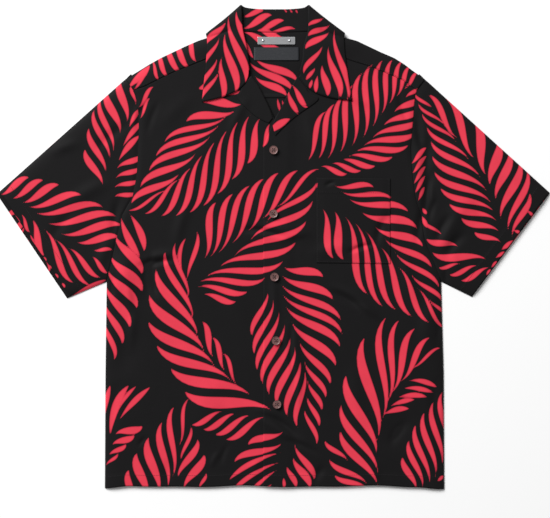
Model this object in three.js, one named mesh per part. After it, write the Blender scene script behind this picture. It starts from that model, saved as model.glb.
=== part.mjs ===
import * as THREE from 'three';

// A short-sleeved open-collar shirt lying flat on its back, in millimetres. X runs across it,
// Y from the hem up to the collar and Z up. Right and left are the wearer's, so the right side
// is at minus X. The tables give distances from the middle line as plus numbers on either side.

const clothThick = 1.0;
const collarThick = 1.2;
const layerGap = 0.3;
const seamGap = 0.4;
const collarGap = 0.4;
const closingGap = 0.5;
const buttonGap = 0.6;
const labelGap = 0.4;
const lapelGap = 0.8;
const loft = 3.2;
const foldRound = 22;
const turnRound = 0.8;

const underarmY = 328;
const yokeSeamY = 625;
const neckPoint = { x: 74, y: 727 };
const overlap = 18;
const overlapEnd = 36;

const sides = [
  { name: 'right', sign: -1 },
  { name: 'left', sign: 1 },
];

const sideSeam = [
  { y: 0, right: 271, left: 271 },
  { y: 180, right: 270, left: 270 },
  { y: underarmY, right: 268, left: 266 },
];

const armhole = [
  { y: underarmY, right: 268, left: 266 },
  { y: 357, right: 261, left: 255 },
  { y: 394, right: 253, left: 240 },
  { y: 434, right: 243, left: 234 },
  { y: 462, right: 227, left: 225 },
  { y: 493, right: 221, left: 221 },
  { y: 515, right: 219, left: 219 },
  { y: 541, right: 218, left: 218 },
  { y: 568, right: 217, left: 220 },
  { y: 589, right: 217, left: 222 },
  { y: 609, right: 219, left: 223 },
  { y: yokeSeamY, right: 223, left: 225 },
  { y: 634, right: 227, left: 228 },
  { y: 642, right: 232, left: 234 },
  { y: 650, right: 238, left: 240 },
];

// The seam between front and yoke, from the armhole to the neck, over the collar bone.
const frontSeam = [
  { y: 634, right: 226.5, left: 227.5 },
  { y: 640, right: 207, left: 218 },
  { y: 648, right: 191, left: 208 },
  { y: 656, right: 175, left: 190 },
  { y: 664, right: 158, left: 171 },
  { y: 672, right: 137, left: 151 },
  { y: 680, right: 117, left: 124 },
  { y: 689, right: 94, left: 100 },
  { y: 697, right: 72, left: 76 },
];

const shoulder = [
  { y: 650, right: 238, left: 240 },
  { y: 664, right: 215, left: 220 },
  { y: 674, right: 199, left: 207 },
  { y: 684, right: 181, left: 191 },
  { y: 693, right: 162, left: 170 },
  { y: 702, right: 143, left: 151 },
  { y: 711, right: 122, left: 132 },
  { y: 718, right: 100, left: 106 },
  { y: neckPoint.y, right: neckPoint.x, left: neckPoint.x + 2 },
];

// The inner edge of each front, up the closing, along the roll of the lapel and round the neck.
// It is measured towards the other side, so plus numbers have not reached the middle line.
const frontEdge = [
  { y: 0, right: -overlap, left: -overlap },
  { y: 541, right: -overlap, left: -overlap },
  { y: 568, right: -7, left: -8 },
  { y: 589, right: 1, left: 1 },
  { y: 609, right: 10, left: 13 },
  { y: 625, right: 18, left: 20 },
  { y: 641, right: 27, left: 28 },
  { y: 658, right: 43, left: 42 },
  { y: 666, right: 50, left: 50 },
  { y: 680, right: 57.5, left: 59 },
  { y: 697, right: 66, left: 68 },
  { y: neckPoint.y, right: neckPoint.x, left: neckPoint.x + 2 },
];

const cuff = {
  right: { top: { x: 439, y: 470 }, low: { x: 327, y: 304 }, backShows: 6 },
  left: { top: { x: 439, y: 469 }, low: { x: 315, y: 304 }, backShows: 1.5 },
};

// Largest folds: where the middle is, its turn from the X axis in degrees, and its size.
const folds = [
  { x: -240, y: 335, turn: 96, length: 100, width: 17, height: 4.5 },
  { x: -205, y: 333, turn: 96, length: 90, width: 9, height: -2.6 },
  { x: -186, y: 366, turn: 15, length: 80, width: 9, height: 2.2 },
  { x: -240, y: 210, turn: 80, length: 90, width: 20, height: -1.6 },
  { x: 10, y: 410, turn: 2, length: 130, width: 11, height: 2.0 },
  { x: 32, y: 208, turn: 94, length: 190, width: 11, height: 2.2 },
  { x: 22, y: 85, turn: -31, length: 170, width: 10, height: 2.4 },
  { x: 127, y: 301, turn: -32, length: 100, width: 9, height: 1.8 },
  { x: 194, y: 92, turn: 60, length: 90, width: 22, height: -1.6 },
  { x: 244, y: 258, turn: 84, length: 120, width: 12, height: 1.8 },
  { x: 228, y: 500, turn: 88, length: 120, width: 9, height: 2.2 },
  { x: 243, y: 520, turn: 86, length: 120, width: 8, height: -2.2 },
  { x: 284, y: 420, turn: 62, length: 130, width: 14, height: 2.4 },
  { x: -336, y: 543, turn: 17, length: 70, width: 9, height: 1.6 },
  { x: -272, y: 374, turn: 70, length: 80, width: 10, height: 2.0 },
  { x: -110, y: 130, turn: 72, length: 170, width: 24, height: 1.6 },
  { x: -120, y: 520, turn: 58, length: 150, width: 20, height: 1.4 },
  { x: 175, y: 585, turn: 118, length: 130, width: 16, height: 1.6 },
];

// The collar from the middle of its back round to its end at the lapel. Each section runs from
// the neck seam up to the roll and down over the fall, past a third of the fall to its free edge.
// The lay is 0 where the collar is under the shirt's back, 1 where it lies on the front.
const collarSections = {
  right: [
    { seam: [0, 725.4], roll: [0, 761], third: [0, 742], edge: [0, 706], lay: 0 },
    { seam: [-30, 725.8], roll: [-27, 761.5], third: [-31, 743], edge: [-40, 706], lay: 0 },
    { seam: [-62, 727.2], roll: [-46, 764], third: [-59, 747], edge: [-86, 709], lay: 0 },
    { seam: [-69, 728.4], roll: [-51, 766], third: [-67, 749], edge: [-101, 714], lay: 0 },
    { seam: [-73, 730], roll: [-53, 767], third: [-71, 751], edge: [-107, 721], lay: 0.5 },
    { seam: [-71, 721], roll: [-53, 752], third: [-71, 738], edge: [-107.5, 712], lay: 1 },
    { seam: [-69, 707], roll: [-52, 731], third: [-71, 719], edge: [-108, 697], lay: 1 },
    { seam: [-62, 690], roll: [-45.5, 701], third: [-65, 694], edge: [-110, 671], lay: 1 },
    { seam: [-54, 675], roll: [-42.5, 681], third: [-60, 672], edge: [-113, 643], lay: 1 },
    { seam: [-45.5, 661.5], roll: [-41.5, 664], third: [-52, 638], edge: [-116, 614], lay: 1 },
  ],
  left: [
    { seam: [0, 725.4], roll: [0, 761], third: [0, 742], edge: [0, 706], lay: 0 },
    { seam: [30, 725.8], roll: [28, 761.5], third: [31, 743], edge: [41, 706], lay: 0 },
    { seam: [64, 727.2], roll: [48, 764], third: [60, 747], edge: [88, 709], lay: 0 },
    { seam: [71, 728.6], roll: [52, 766], third: [69, 749], edge: [104, 714], lay: 0 },
    { seam: [75, 730], roll: [54, 767], third: [73, 751], edge: [110, 722], lay: 0.5 },
    { seam: [73, 721], roll: [55, 752], third: [73, 738], edge: [111, 713], lay: 1 },
    { seam: [71, 707], roll: [55, 731], third: [74, 719], edge: [112, 697], lay: 1 },
    { seam: [63.5, 690], roll: [47.5, 700], third: [67, 693], edge: [115, 672], lay: 1 },
    { seam: [55, 675], roll: [46, 682], third: [63, 673], edge: [119, 645], lay: 1 },
    { seam: [44.5, 661.5], roll: [41.5, 664], third: [54, 636], edge: [124, 616], lay: 1 },
  ],
};

// The turned-out lapels from the foot of the neck opening up to the collar.
const lapelRows = {
  right: [
    { roll: [-4, 587], edge: [-9, 580] },
    { roll: [-6.5, 597], edge: [-27, 589] },
    { roll: [-13, 612], edge: [-45, 604] },
    { roll: [-19.5, 625], edge: [-60, 621] },
    { roll: [-27.5, 640], edge: [-56, 630] },
    { roll: [-38, 655], edge: [-52, 637] },
  ],
  left: [
    { roll: [-3, 577], edge: [1, 560] },
    { roll: [6, 595], edge: [19, 578] },
    { roll: [13.5, 608], edge: [38, 594] },
    { roll: [21, 624], edge: [70, 618] },
    { roll: [29, 640], edge: [56, 628] },
    { roll: [37.5, 654], edge: [50.5, 635.5] },
  ],
};

const pocket = { from: 67, to: 185, low: 357, high: 493 };

const button = { diameter: 13.8, foot: 11.3, thick: 2.6, rim: 1.3, dish: 0.8 };
const buttonPlaces = [
  { x: -1.4, y: 537 },
  { x: -1.8, y: 435.5 },
  { x: 0, y: 334.5 },
  { x: 2.4, y: 233 },
  { x: 4, y: 131.5 },
];

const label = { x: 3, y: 691, width: 72, height: 21, thick: 0.8 };
const plate = { x: 3, y: 712, width: 60, height: 12, thick: 1.0, rivetSpan: 42, rivetSize: 4.2 };

const clothBlack = 0x222122;
const clothInside = 0x2a282a;
const coralRed = 0xf4505e;

function makeMaterial(color, roughness, metalness) {
  return new THREE.MeshStandardMaterial({ color, roughness, metalness });
}

// Reads one column of a table at a height between its rows.
function columnAt(table, column, y) {
  let row = 1;
  while (row < table.length - 1 && table[row].y < y) {
    row += 1;
  }
  const low = table[row - 1];
  const high = table[row];
  const share = THREE.MathUtils.clamp((y - low.y) / (high.y - low.y), 0, 1);
  return THREE.MathUtils.lerp(low[column], high[column], share);
}

function mix(from, to, share) {
  return THREE.MathUtils.lerp(from, to, share);
}

// The outline's folded edges, where front and back meet.
function makeFoldedEdges() {
  const edges = [];
  for (const { name, sign } of sides) {
    const line = [
      ...sideSeam.map((row) => [sign * row[name], row.y]),
      [sign * cuff[name].low.x, cuff[name].low.y],
    ];
    const top = [
      [sign * cuff[name].top.x, cuff[name].top.y],
      ...shoulder.map((row) => [sign * row[name], row.y]),
    ];
    for (const points of [line, top]) {
      for (let i = 1; i < points.length; i += 1) {
        edges.push([points[i - 1], points[i]]);
      }
    }
  }
  return edges;
}

const foldedEdges = makeFoldedEdges();

function edgeDistance(x, y) {
  let nearest = Infinity;
  for (const [a, b] of foldedEdges) {
    const dx = b[0] - a[0];
    const dy = b[1] - a[1];
    const along = ((x - a[0]) * dx + (y - a[1]) * dy) / (dx * dx + dy * dy);
    const share = THREE.MathUtils.clamp(along, 0, 1);
    nearest = Math.min(nearest, Math.hypot(x - a[0] - dx * share, y - a[1] - dy * share));
  }
  return nearest;
}

function foldHeight(x, y) {
  let height = 0;
  for (const fold of folds) {
    const turn = THREE.MathUtils.degToRad(fold.turn);
    const along = (x - fold.x) * Math.cos(turn) + (y - fold.y) * Math.sin(turn);
    const across = (y - fold.y) * Math.cos(turn) - (x - fold.x) * Math.sin(turn);
    const reach = (2 * along) / fold.length;
    if (Math.abs(reach) < 1) {
      height += fold.height * (1 - reach * reach) ** 2 * Math.exp(-((across / fold.width) ** 2));
    }
  }
  return height;
}

// The fall of the collar lies under the yoke's back and lifts it.
function backLift(x, y) {
  const collarReach = { x: 130, y: 80, top: 761, end: 1.4 };
  const reach = Math.hypot(x / collarReach.x, (y - collarReach.top) / collarReach.y);
  return (collarThick + collarGap) * (1 - THREE.MathUtils.smoothstep(reach, 1, collarReach.end));
}

function backMiddle(x, y) {
  return clothThick / 2 + backLift(x, y);
}

// Middle of the upper layer's cloth: on the back at the folded edges, lofted inside them.
function frontMiddle(x, y) {
  const near = THREE.MathUtils.clamp(edgeDistance(x, y) / foldRound, 0, 1);
  const round = Math.sqrt(1 - (1 - near) ** 2);
  const lofted = Math.max(0, loft + foldHeight(x, y)) * round;
  return backMiddle(x, y) + clothThick + layerGap + lofted;
}

// The left front lies on the right one where they close.
function leftFrontMiddle(x, y) {
  const onTop = 1 - THREE.MathUtils.smoothstep(x, overlap, overlapEnd);
  return frontMiddle(x, y) + (clothThick + closingGap) * onTop;
}

// Closes a grid of middle points into a wall of even thickness. Each grid entry holds a point
// and the way it thickens, keep says which cells are cloth, and a ring joins its last to its first.
function makeWall(grid, thickness, { keep = () => true, ring = false } = {}) {
  const columns = grid.length;
  const rows = grid[0].length;
  const cells = ring ? columns : columns - 1;
  const positions = [];
  const index = [];
  for (const column of grid) {
    for (const { point, way } of column) {
      positions.push(...point.clone().addScaledVector(way, thickness / 2).toArray());
      positions.push(...point.clone().addScaledVector(way, -thickness / 2).toArray());
    }
  }
  const outer = (i, j) => 2 * ((i % columns) * rows + j);
  const inner = (i, j) => outer(i, j) + 1;
  const kept = (i, j) => {
    if (j < 0 || j >= rows - 1) {
      return false;
    }
    if (ring) {
      return true;
    }
    return i >= 0 && i < cells && keep(i, j);
  };
  const addQuad = (a, b, c, d) => index.push(a, b, c, a, c, d);
  for (let i = 0; i < cells; i += 1) {
    for (let j = 0; j < rows - 1; j += 1) {
      if (!kept(i, j)) {
        continue;
      }
      addQuad(outer(i, j), outer(i + 1, j), outer(i + 1, j + 1), outer(i, j + 1));
      addQuad(inner(i, j), inner(i, j + 1), inner(i + 1, j + 1), inner(i + 1, j));
      if (!kept(i, j - 1)) {
        addQuad(inner(i, j), inner(i + 1, j), outer(i + 1, j), outer(i, j));
      }
      if (!kept(i, j + 1)) {
        addQuad(outer(i, j + 1), outer(i + 1, j + 1), inner(i + 1, j + 1), inner(i, j + 1));
      }
      if (!kept(i - 1, j)) {
        addQuad(outer(i, j), outer(i, j + 1), inner(i, j + 1), inner(i, j));
      }
      if (!kept(i + 1, j)) {
        addQuad(inner(i + 1, j), inner(i + 1, j + 1), outer(i + 1, j + 1), outer(i + 1, j));
      }
    }
  }
  const geometry = new THREE.BufferGeometry();
  geometry.setAttribute('position', new THREE.Float32BufferAttribute(positions, 3));
  geometry.setIndex(index);
  geometry.computeVertexNormals();
  return geometry;
}

const up = new THREE.Vector3(0, 0, 1);
const down = new THREE.Vector3(0, 0, -1);

// A grid on a height, with columns from minus X to plus X and rows up the shirt.
function heightGrid(columnXs, levels, middle) {
  return columnXs.map((column) =>
    levels.map((y, row) => {
      const x = column[row];
      return { point: new THREE.Vector3(x, y, middle(x, y)), way: up };
    }),
  );
}

const hemLevels = [0, 28, 62, 100, 140, 180, 220, 258, 294];
const armLevels = armhole.map((row) => row.y).filter((y) => y <= yokeSeamY);
const seamLevels = frontSeam.map((row) => row.y);
const bodyLevels = [...hemLevels, ...armLevels];

function outerEdge(name, y) {
  if (y <= underarmY) {
    return columnAt(sideSeam, name, y);
  }
  if (y <= seamLevels[0]) {
    return columnAt(armhole, name, y);
  }
  return columnAt(frontSeam, name, y);
}

function makeBack() {
  const cells = 14;
  const levels = bodyLevels.map((y) => (y === yokeSeamY ? y - seamGap : y));
  const columnXs = [];
  for (let i = 0; i <= cells; i += 1) {
    columnXs.push(levels.map((y) => mix(-outerEdge('right', y), outerEdge('left', y), i / cells)));
  }
  return makeWall(heightGrid(columnXs, levels, backMiddle), clothThick);
}

// Columns of a front from its inner edge out. They stand upright as far as the chest.
const uprightColumns = [-18, -6, 6, 18, 32, 48, 67, 87, 106, 126, 145, 165, 185];
const outerShares = [0.4, 0.75, 1];
const chestY = 541;

function frontColumns(name, levels) {
  const reach = (y) => outerEdge(name, y) - (y > seamLevels[0] - 1 ? seamGap : 0);
  const rowAt = (y) => {
    const last = uprightColumns[uprightColumns.length - 1];
    const outside = outerShares.map((share) => mix(last, reach(y), share));
    return [...uprightColumns, ...outside];
  };
  const chest = rowAt(chestY);
  const span = chest[chest.length - 1] - chest[0];
  return chest.map((atChest, i) =>
    levels.map((y) => {
      if (y <= chestY) {
        return rowAt(y)[i];
      }
      const share = (atChest - chest[0]) / span;
      return mix(columnAt(frontEdge, name, y), reach(y), share);
    }),
  );
}

const frontLevels = [...bodyLevels, ...seamLevels];

function makeFront(name, sign, middle) {
  const columns = frontColumns(name, frontLevels).map((column) => column.map((x) => sign * x));
  if (sign < 0) {
    columns.reverse();
  }
  return makeWall(heightGrid(columns, frontLevels, middle), clothThick);
}

function makePocket() {
  const first = uprightColumns.indexOf(pocket.from);
  const last = uprightColumns.indexOf(pocket.to);
  const levels = frontLevels.filter((y) => y >= pocket.low && y <= pocket.high);
  const columns = uprightColumns.slice(first, last + 1).map((x) => levels.map(() => x));
  const middle = (x, y) => leftFrontMiddle(x, y) + clothThick + layerGap;
  return makeWall(heightGrid(columns, levels, middle), clothThick);
}

// The yoke runs from its back seam up to the shoulder, over it and down to the front seam.
const yokeRises = [0, 0.2, 0.36, 0.52, 0.68, 0.86, 1];
const yokeFalls = [0, 0.12, 0.35, 0.66, 1];
const shoulderWay = { x: 0.45, y: 0.9 };
const sleeveTopWay = { x: 0.6, y: 0.8 };

function yokeColumn(name, sign, column) {
  const top = shoulder[column];
  const seam = frontSeam[column];
  const share = column / (shoulder.length - 1);
  const foot = mix(columnAt(armhole, name, yokeSeamY), neckPoint.x, share);
  // The armhole is curved, so the outer columns bend with it.
  const bend = (low, high, part) => {
    const y = mix(low, high, part);
    const straight = mix(columnAt(armhole, name, low), columnAt(armhole, name, high), part);
    return (columnAt(armhole, name, y) - straight) * (1 - share);
  };
  const line = [];
  for (const rise of yokeRises) {
    const x = sign * (mix(foot, top[name], rise) + bend(yokeSeamY, top.y, rise) * (share ? 0 : 1));
    const y = mix(yokeSeamY, top.y, rise);
    line.push({ point: new THREE.Vector3(x, y, backMiddle(x, y)), way: down });
  }
  const edge = line[line.length - 1].point;
  const out = new THREE.Vector3(sign * shoulderWay.x, shoulderWay.y, 0).normalize();
  const turned = edge.clone().addScaledVector(out, turnRound);
  turned.z += (clothThick + layerGap) / 2;
  line.push({ point: turned, way: out });
  for (const fall of yokeFalls) {
    const curve = bend(top.y, seam.y, fall) * (share ? 0 : 1);
    const x = sign * (mix(top[name], seam[name], fall) + curve);
    const y = mix(top.y, seam.y + seamGap, fall);
    line.push({ point: new THREE.Vector3(x, y, frontMiddle(x, y)), way: up });
  }
  return line;
}

function makeYoke() {
  const neckCells = 8;
  const neckDip = 2;
  const shoulderColumns = shoulder.map((row, column) => column);
  const right = shoulderColumns.map((column) => yokeColumn('right', -1, column));
  const left = shoulderColumns.map((column) => yokeColumn('left', 1, column)).reverse();
  const between = [];
  const from = right[right.length - 1];
  const to = left[0];
  for (let i = 1; i < neckCells; i += 1) {
    const share = i / neckCells;
    const dip = neckDip * Math.sin(Math.PI * share);
    const line = from.map(({ way }, row) => {
      const point = from[row].point.clone().lerp(to[row].point, share);
      const rise = row < yokeRises.length ? yokeRises[row] : 1;
      point.y -= dip * rise;
      point.z = backMiddle(point.x, point.y);
      return { point, way };
    });
    between.push(line);
  }
  const grid = [...right, ...between, ...left];
  const firstNeck = right.length - 1;
  const isNeck = (i) => i >= firstNeck && i < firstNeck + neckCells;
  const keep = (i, j) => !isNeck(i) || j < yokeRises.length - 1;
  const turnedGrid = grid.map((line) => [...line].reverse());
  const lastRow = turnedGrid[0].length - 2;
  return makeWall(turnedGrid, clothThick, { keep: (i, j) => keep(i, lastRow - j) });
}

// A sleeve is a flattened tube. Its rings go from the armhole to the cuff.
function makeSleeve(name, sign) {
  const ringCount = 9;
  const levels = armhole.map((row) => row.y);
  const lowY = levels[0];
  const highY = levels[levels.length - 1];
  const { top, low, backShows } = cuff[name];
  const cuffOut = new THREE.Vector3(low.y - top.y, top.x - low.x, 0).normalize().negate();
  const place = (y, share, extra) => {
    const part = (y - lowY) / (highY - lowY);
    const cuffX = mix(low.x, top.x, part) + Math.abs(cuffOut.x) * extra;
    const cuffY = mix(low.y, top.y, part) - Math.abs(cuffOut.y) * extra;
    const x = mix(columnAt(armhole, name, y) + seamGap, cuffX, share);
    return [sign * x, mix(y, cuffY, share)];
  };
  const ways = {
    high: new THREE.Vector3(sign * sleeveTopWay.x, sleeveTopWay.y, 0),
    low: new THREE.Vector3(0, -1, 0),
  };
  const makeFold = (point, way) => {
    const turned = point.clone().addScaledVector(way, turnRound);
    turned.z = clothThick + layerGap / 2;
    return { point: turned, way };
  };
  const rings = [];
  for (let ring = 0; ring < ringCount; ring += 1) {
    const share = ring / (ringCount - 1);
    const lower = levels.map((y) => {
      const [x, atY] = place(y, share, backShows * share);
      return { point: new THREE.Vector3(x, atY, clothThick / 2), way: down };
    });
    const upper = levels.map((y) => {
      const [x, atY] = place(y, share, 0);
      return { point: new THREE.Vector3(x, atY, frontMiddle(x, atY)), way: up };
    });
    const highFold = makeFold(upper[upper.length - 1].point, ways.high);
    const lowFold = makeFold(upper[0].point, ways.low);
    rings.push([...lower, highFold, ...upper.reverse(), lowFold]);
  }
  const around = rings[0].map((unused, i) => rings.map((ring) => ring[i]));
  if (sign < 0) {
    around.reverse();
  }
  return makeWall(around, clothThick, { ring: true });
}

// Runs a curve through one column of the collar's sections.
function sectionCurve(sections, column) {
  const points = sections.map((section) => new THREE.Vector3(...section[column], section.lay));
  return new THREE.CatmullRomCurve3(points, false, 'centripetal');
}

const collarRise = 2.6;
const collarRoll = 1;
const thirdShare = 0.4;

// The control point of a curve from start to end that passes a third point on its way.
function controlPoint(start, passed, end) {
  const back = (1 - thirdShare) ** 2;
  const on = thirdShare ** 2;
  const between = 2 * thirdShare * (1 - thirdShare);
  return new THREE.Vector2(
    (passed.x - start.x * back - end.x * on) / between,
    (passed.y - start.y * back - end.y * on) / between,
  );
}

// One section of the collar: the stand, the roll and the fall, as middle points and their ways.
function collarSection(sign, seam, roll, third, edge) {
  const lay = roll.z;
  const turn = Math.PI * THREE.MathUtils.smoothstep(lay, 0, 1);
  const along = new THREE.Vector3(edge.x - roll.x, edge.y - roll.y, 0).normalize();
  const side = new THREE.Vector3(sign * Math.abs(along.y), Math.abs(along.x), 0);
  const over = side.multiplyScalar(Math.sin(turn)).addScaledVector(up, -Math.cos(turn));
  const base = (x, y) => mix(backMiddle(x, y), frontMiddle(x, y), Math.min(1, Math.max(0, lay)));
  const backDrop = collarThick + layerGap;
  const apart = mix(backDrop, collarRise, Math.min(1, Math.max(0, lay)));
  const line = [];
  const add = (x, y, height, way) => {
    const point = new THREE.Vector3(x, y, base(x, y)).addScaledVector(over, height);
    line.push({ point, way });
  };
  for (const share of [0, 0.5, 1]) {
    add(mix(seam.x, roll.x, share), mix(seam.y, roll.y, share), 0, over.clone().negate());
  }
  const rollOut = along.clone().negate();
  const rolled = line[line.length - 1].point.clone();
  rolled.addScaledVector(rollOut, collarRoll).addScaledVector(over, apart / 2);
  line.push({ point: rolled, way: rollOut });
  const fall = new THREE.QuadraticBezierCurve(
    new THREE.Vector2(roll.x, roll.y),
    controlPoint(roll, third, edge),
    new THREE.Vector2(edge.x, edge.y),
  );
  for (const share of [0, 0.15, 0.4, 0.6, 0.8, 1]) {
    const { x, y } = fall.getPoint(share);
    add(x, y, apart, over.clone());
  }
  return line;
}

function makeCollar() {
  const stepsPerSide = 18;
  const columns = ['seam', 'roll', 'third', 'edge'];
  const halves = sides.map(({ name, sign }) => {
    const curves = columns.map((column) => sectionCurve(collarSections[name], column));
    const half = [];
    for (let step = 0; step <= stepsPerSide; step += 1) {
      half.push(collarSection(sign, ...curves.map((curve) => curve.getPoint(step / stepsPerSide))));
    }
    return half;
  });
  const grid = [...halves[0].reverse(), ...halves[1].slice(1)];
  return makeWall(grid, collarThick);
}

function makeLapel(name, sign, middle) {
  const shares = [0, 0.2, 0.45, 0.7, 1];
  const rise = clothThick + lapelGap;
  const rows = lapelRows[name];
  const grid = shares.map((share) =>
    rows.map(({ roll, edge }) => {
      const x = mix(roll[0], edge[0], share);
      const y = mix(roll[1], edge[1], share);
      return { point: new THREE.Vector3(x, y, middle(x, y) + rise), way: up };
    }),
  );
  if (sign < 0) {
    grid.reverse();
  }
  return makeWall(grid, clothThick);
}

// A sewing button with a raised rim round a dished middle.
function makeButton(place) {
  const radius = button.diameter / 2;
  const seat = [0, 0.25, 0.5, 0.75].map((part) => {
    const angle = part * 2 * Math.PI;
    return leftFrontMiddle(place.x + radius * Math.cos(angle), place.y + radius * Math.sin(angle));
  });
  const highest = Math.max(leftFrontMiddle(place.x, place.y), ...seat);
  const base = highest + clothThick / 2 + buttonGap;
  const profile = [
    [0, 0],
    [button.foot / 2, 0],
    [radius, button.thick / 2],
    [radius, button.thick - button.rim / 2],
    [radius - button.rim / 2, button.thick],
    [radius - button.rim * 1.5, button.thick - button.dish],
    [0, button.thick - button.dish],
  ].map(([r, z]) => new THREE.Vector2(r, z));
  const geometry = new THREE.LatheGeometry(profile, 16);
  geometry.rotateX(Math.PI / 2);
  geometry.translate(place.x, place.y, base);
  return geometry;
}

function makeLabel() {
  const cells = { across: 6, up: 3 };
  const columns = [];
  const levels = [];
  for (let j = 0; j <= cells.up; j += 1) {
    levels.push(label.y + label.height * (j / cells.up - 0.5));
  }
  for (let i = 0; i <= cells.across; i += 1) {
    columns.push(levels.map(() => label.x + label.width * (i / cells.across - 0.5)));
  }
  const rise = clothThick / 2 + labelGap + label.thick / 2;
  return makeWall(heightGrid(columns, levels, (x, y) => backMiddle(x, y) + rise), label.thick);
}

const plateBase = backMiddle(plate.x, plate.y) + clothThick / 2 + layerGap;

function makePlate() {
  const corner = 1.2;
  const halfWidth = plate.width / 2 - corner;
  const halfHeight = plate.height / 2 - corner;
  const outline = new THREE.Shape();
  outline.absarc(halfWidth, halfHeight, corner, 0, Math.PI / 2);
  outline.absarc(-halfWidth, halfHeight, corner, Math.PI / 2, Math.PI);
  outline.absarc(-halfWidth, -halfHeight, corner, Math.PI, 1.5 * Math.PI);
  outline.absarc(halfWidth, -halfHeight, corner, 1.5 * Math.PI, 2 * Math.PI);
  const geometry = new THREE.ExtrudeGeometry(outline, {
    depth: plate.thick,
    bevelEnabled: false,
    curveSegments: 3,
  });
  geometry.translate(plate.x, plate.y, plateBase);
  return geometry;
}

function makeRivet(sign) {
  const radius = plate.rivetSize / 2;
  const profile = [
    [0, 0],
    [radius, 0],
    [radius * 0.92, radius * 0.25],
    [radius * 0.6, radius * 0.45],
    [0, radius * 0.55],
  ].map(([r, z]) => new THREE.Vector2(r, z));
  const geometry = new THREE.LatheGeometry(profile, 12);
  geometry.rotateX(Math.PI / 2);
  const height = plateBase + plate.thick + layerGap;
  geometry.translate(plate.x + (sign * plate.rivetSpan) / 2, plate.y, height);
  return geometry;
}

const shirt = new THREE.Group();

function addPiece(name, geometry, material) {
  const piece = new THREE.Mesh(geometry, material);
  piece.name = name;
  shirt.add(piece);
}

const rayonBlack = makeMaterial(clothBlack, 0.62, 0);
const rayonInside = makeMaterial(clothInside, 0.7, 0);
const rayonRed = makeMaterial(coralRed, 0.62, 0);
const shellBrown = makeMaterial(0x7a5a55, 0.35, 0);
const labelCloth = makeMaterial(0x1b1b1d, 0.8, 0);
const plateMetal = makeMaterial(0xb9babc, 0.32, 1);

addPiece('back', makeBack(), rayonInside);
addPiece('yoke', makeYoke(), rayonBlack);
addPiece('front_right', makeFront('right', -1, frontMiddle), rayonBlack);
addPiece('front_left', makeFront('left', 1, leftFrontMiddle), rayonBlack);
addPiece('sleeve_right', makeSleeve('right', -1), rayonBlack);
addPiece('sleeve_left', makeSleeve('left', 1), rayonBlack);
addPiece('collar', makeCollar(), rayonRed);
addPiece('lapel_right', makeLapel('right', -1, frontMiddle), rayonBlack);
addPiece('lapel_left', makeLapel('left', 1, leftFrontMiddle), rayonRed);
addPiece('pocket', makePocket(), rayonRed);
addPiece('neck_label', makeLabel(), labelCloth);
addPiece('neck_plate', makePlate(), plateMetal);
for (const { name, sign } of sides) {
  addPiece(`plate_rivet_${name}`, makeRivet(sign), plateMetal);
}
buttonPlaces.forEach((place, i) => {
  addPiece(`button_${i + 1}`, makeButton(place), shellBrown);
});

// The origin is under the middle of the shirt's outline, on the surface it lies on.
const reach = new THREE.Box3().setFromObject(shirt);
const middleOfShirt = reach.getCenter(new THREE.Vector3());
shirt.position.set(-middleOfShirt.x, -middleOfShirt.y, -reach.min.z);

export default shirt;
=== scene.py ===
import math

import bmesh
import bpy
import numpy as np
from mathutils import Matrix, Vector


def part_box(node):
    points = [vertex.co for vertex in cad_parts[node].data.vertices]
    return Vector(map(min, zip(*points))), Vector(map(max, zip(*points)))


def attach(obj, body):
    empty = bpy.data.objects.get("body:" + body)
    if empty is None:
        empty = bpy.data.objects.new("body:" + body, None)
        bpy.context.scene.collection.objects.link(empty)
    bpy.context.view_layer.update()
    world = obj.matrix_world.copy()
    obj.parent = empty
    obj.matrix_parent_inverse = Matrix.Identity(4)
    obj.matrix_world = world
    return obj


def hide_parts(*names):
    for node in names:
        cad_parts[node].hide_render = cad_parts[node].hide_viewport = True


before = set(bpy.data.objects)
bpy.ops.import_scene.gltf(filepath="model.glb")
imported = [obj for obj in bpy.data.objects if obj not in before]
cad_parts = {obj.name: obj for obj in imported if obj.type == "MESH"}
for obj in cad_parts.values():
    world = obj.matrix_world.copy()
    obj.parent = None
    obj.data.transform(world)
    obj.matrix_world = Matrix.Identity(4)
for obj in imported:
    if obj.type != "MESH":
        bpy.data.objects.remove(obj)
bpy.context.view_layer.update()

# The shirt has its own coordinates in millimetres: x from its middle line towards the wearer's
# left, y up from the hem and z up. Right and left are the wearer's.
signs = {"right": -1, "left": 1}
underarmY = 328
yokeSeamY = 625
cloth = {"thick": 0.7, "gap": 0.05, "loft": 3.2, "leastLoft": 0.2, "foldRound": 22, "tuckDepth": 0.75}
closing = {"overlap": 18, "end": 36, "rise": 0.8}
# Round the neck the back stands up towards the collar, within an ellipse.
neckRise = {"y": 761, "halfWidth": 130, "halfHeight": 80, "height": 1.6, "fade": 1.4}

# The seams, as distances from the middle line at each y.
sideSeam = {"y": [0, 180, underarmY], "right": [271, 270, 268], "left": [271, 270, 266]}
armhole = {
    "y": [328, 357, 394, 434, 462, 493, 515, 541, 568, 589, 609, 625, 634, 642, 650],
    "right": [268, 261, 253, 243, 227, 221, 219, 218, 217, 217, 219, 223, 227, 232, 238],
    "left": [266, 255, 240, 234, 225, 221, 219, 218, 220, 222, 223, 225, 228, 234, 240],
}
frontSeam = {
    "y": [634, 640, 648, 656, 664, 672, 680, 689, 697],
    "right": [226.5, 207, 191, 175, 158, 137, 117, 94, 72],
    "left": [227.5, 218, 208, 190, 171, 151, 124, 100, 76],
}
shoulder = {
    "y": [650, 664, 674, 684, 693, 702, 711, 718, 727],
    "right": [238, 215, 199, 181, 162, 143, 122, 100, 74],
    "left": [240, 220, 207, 191, 170, 151, 132, 106, 76],
}
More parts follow.
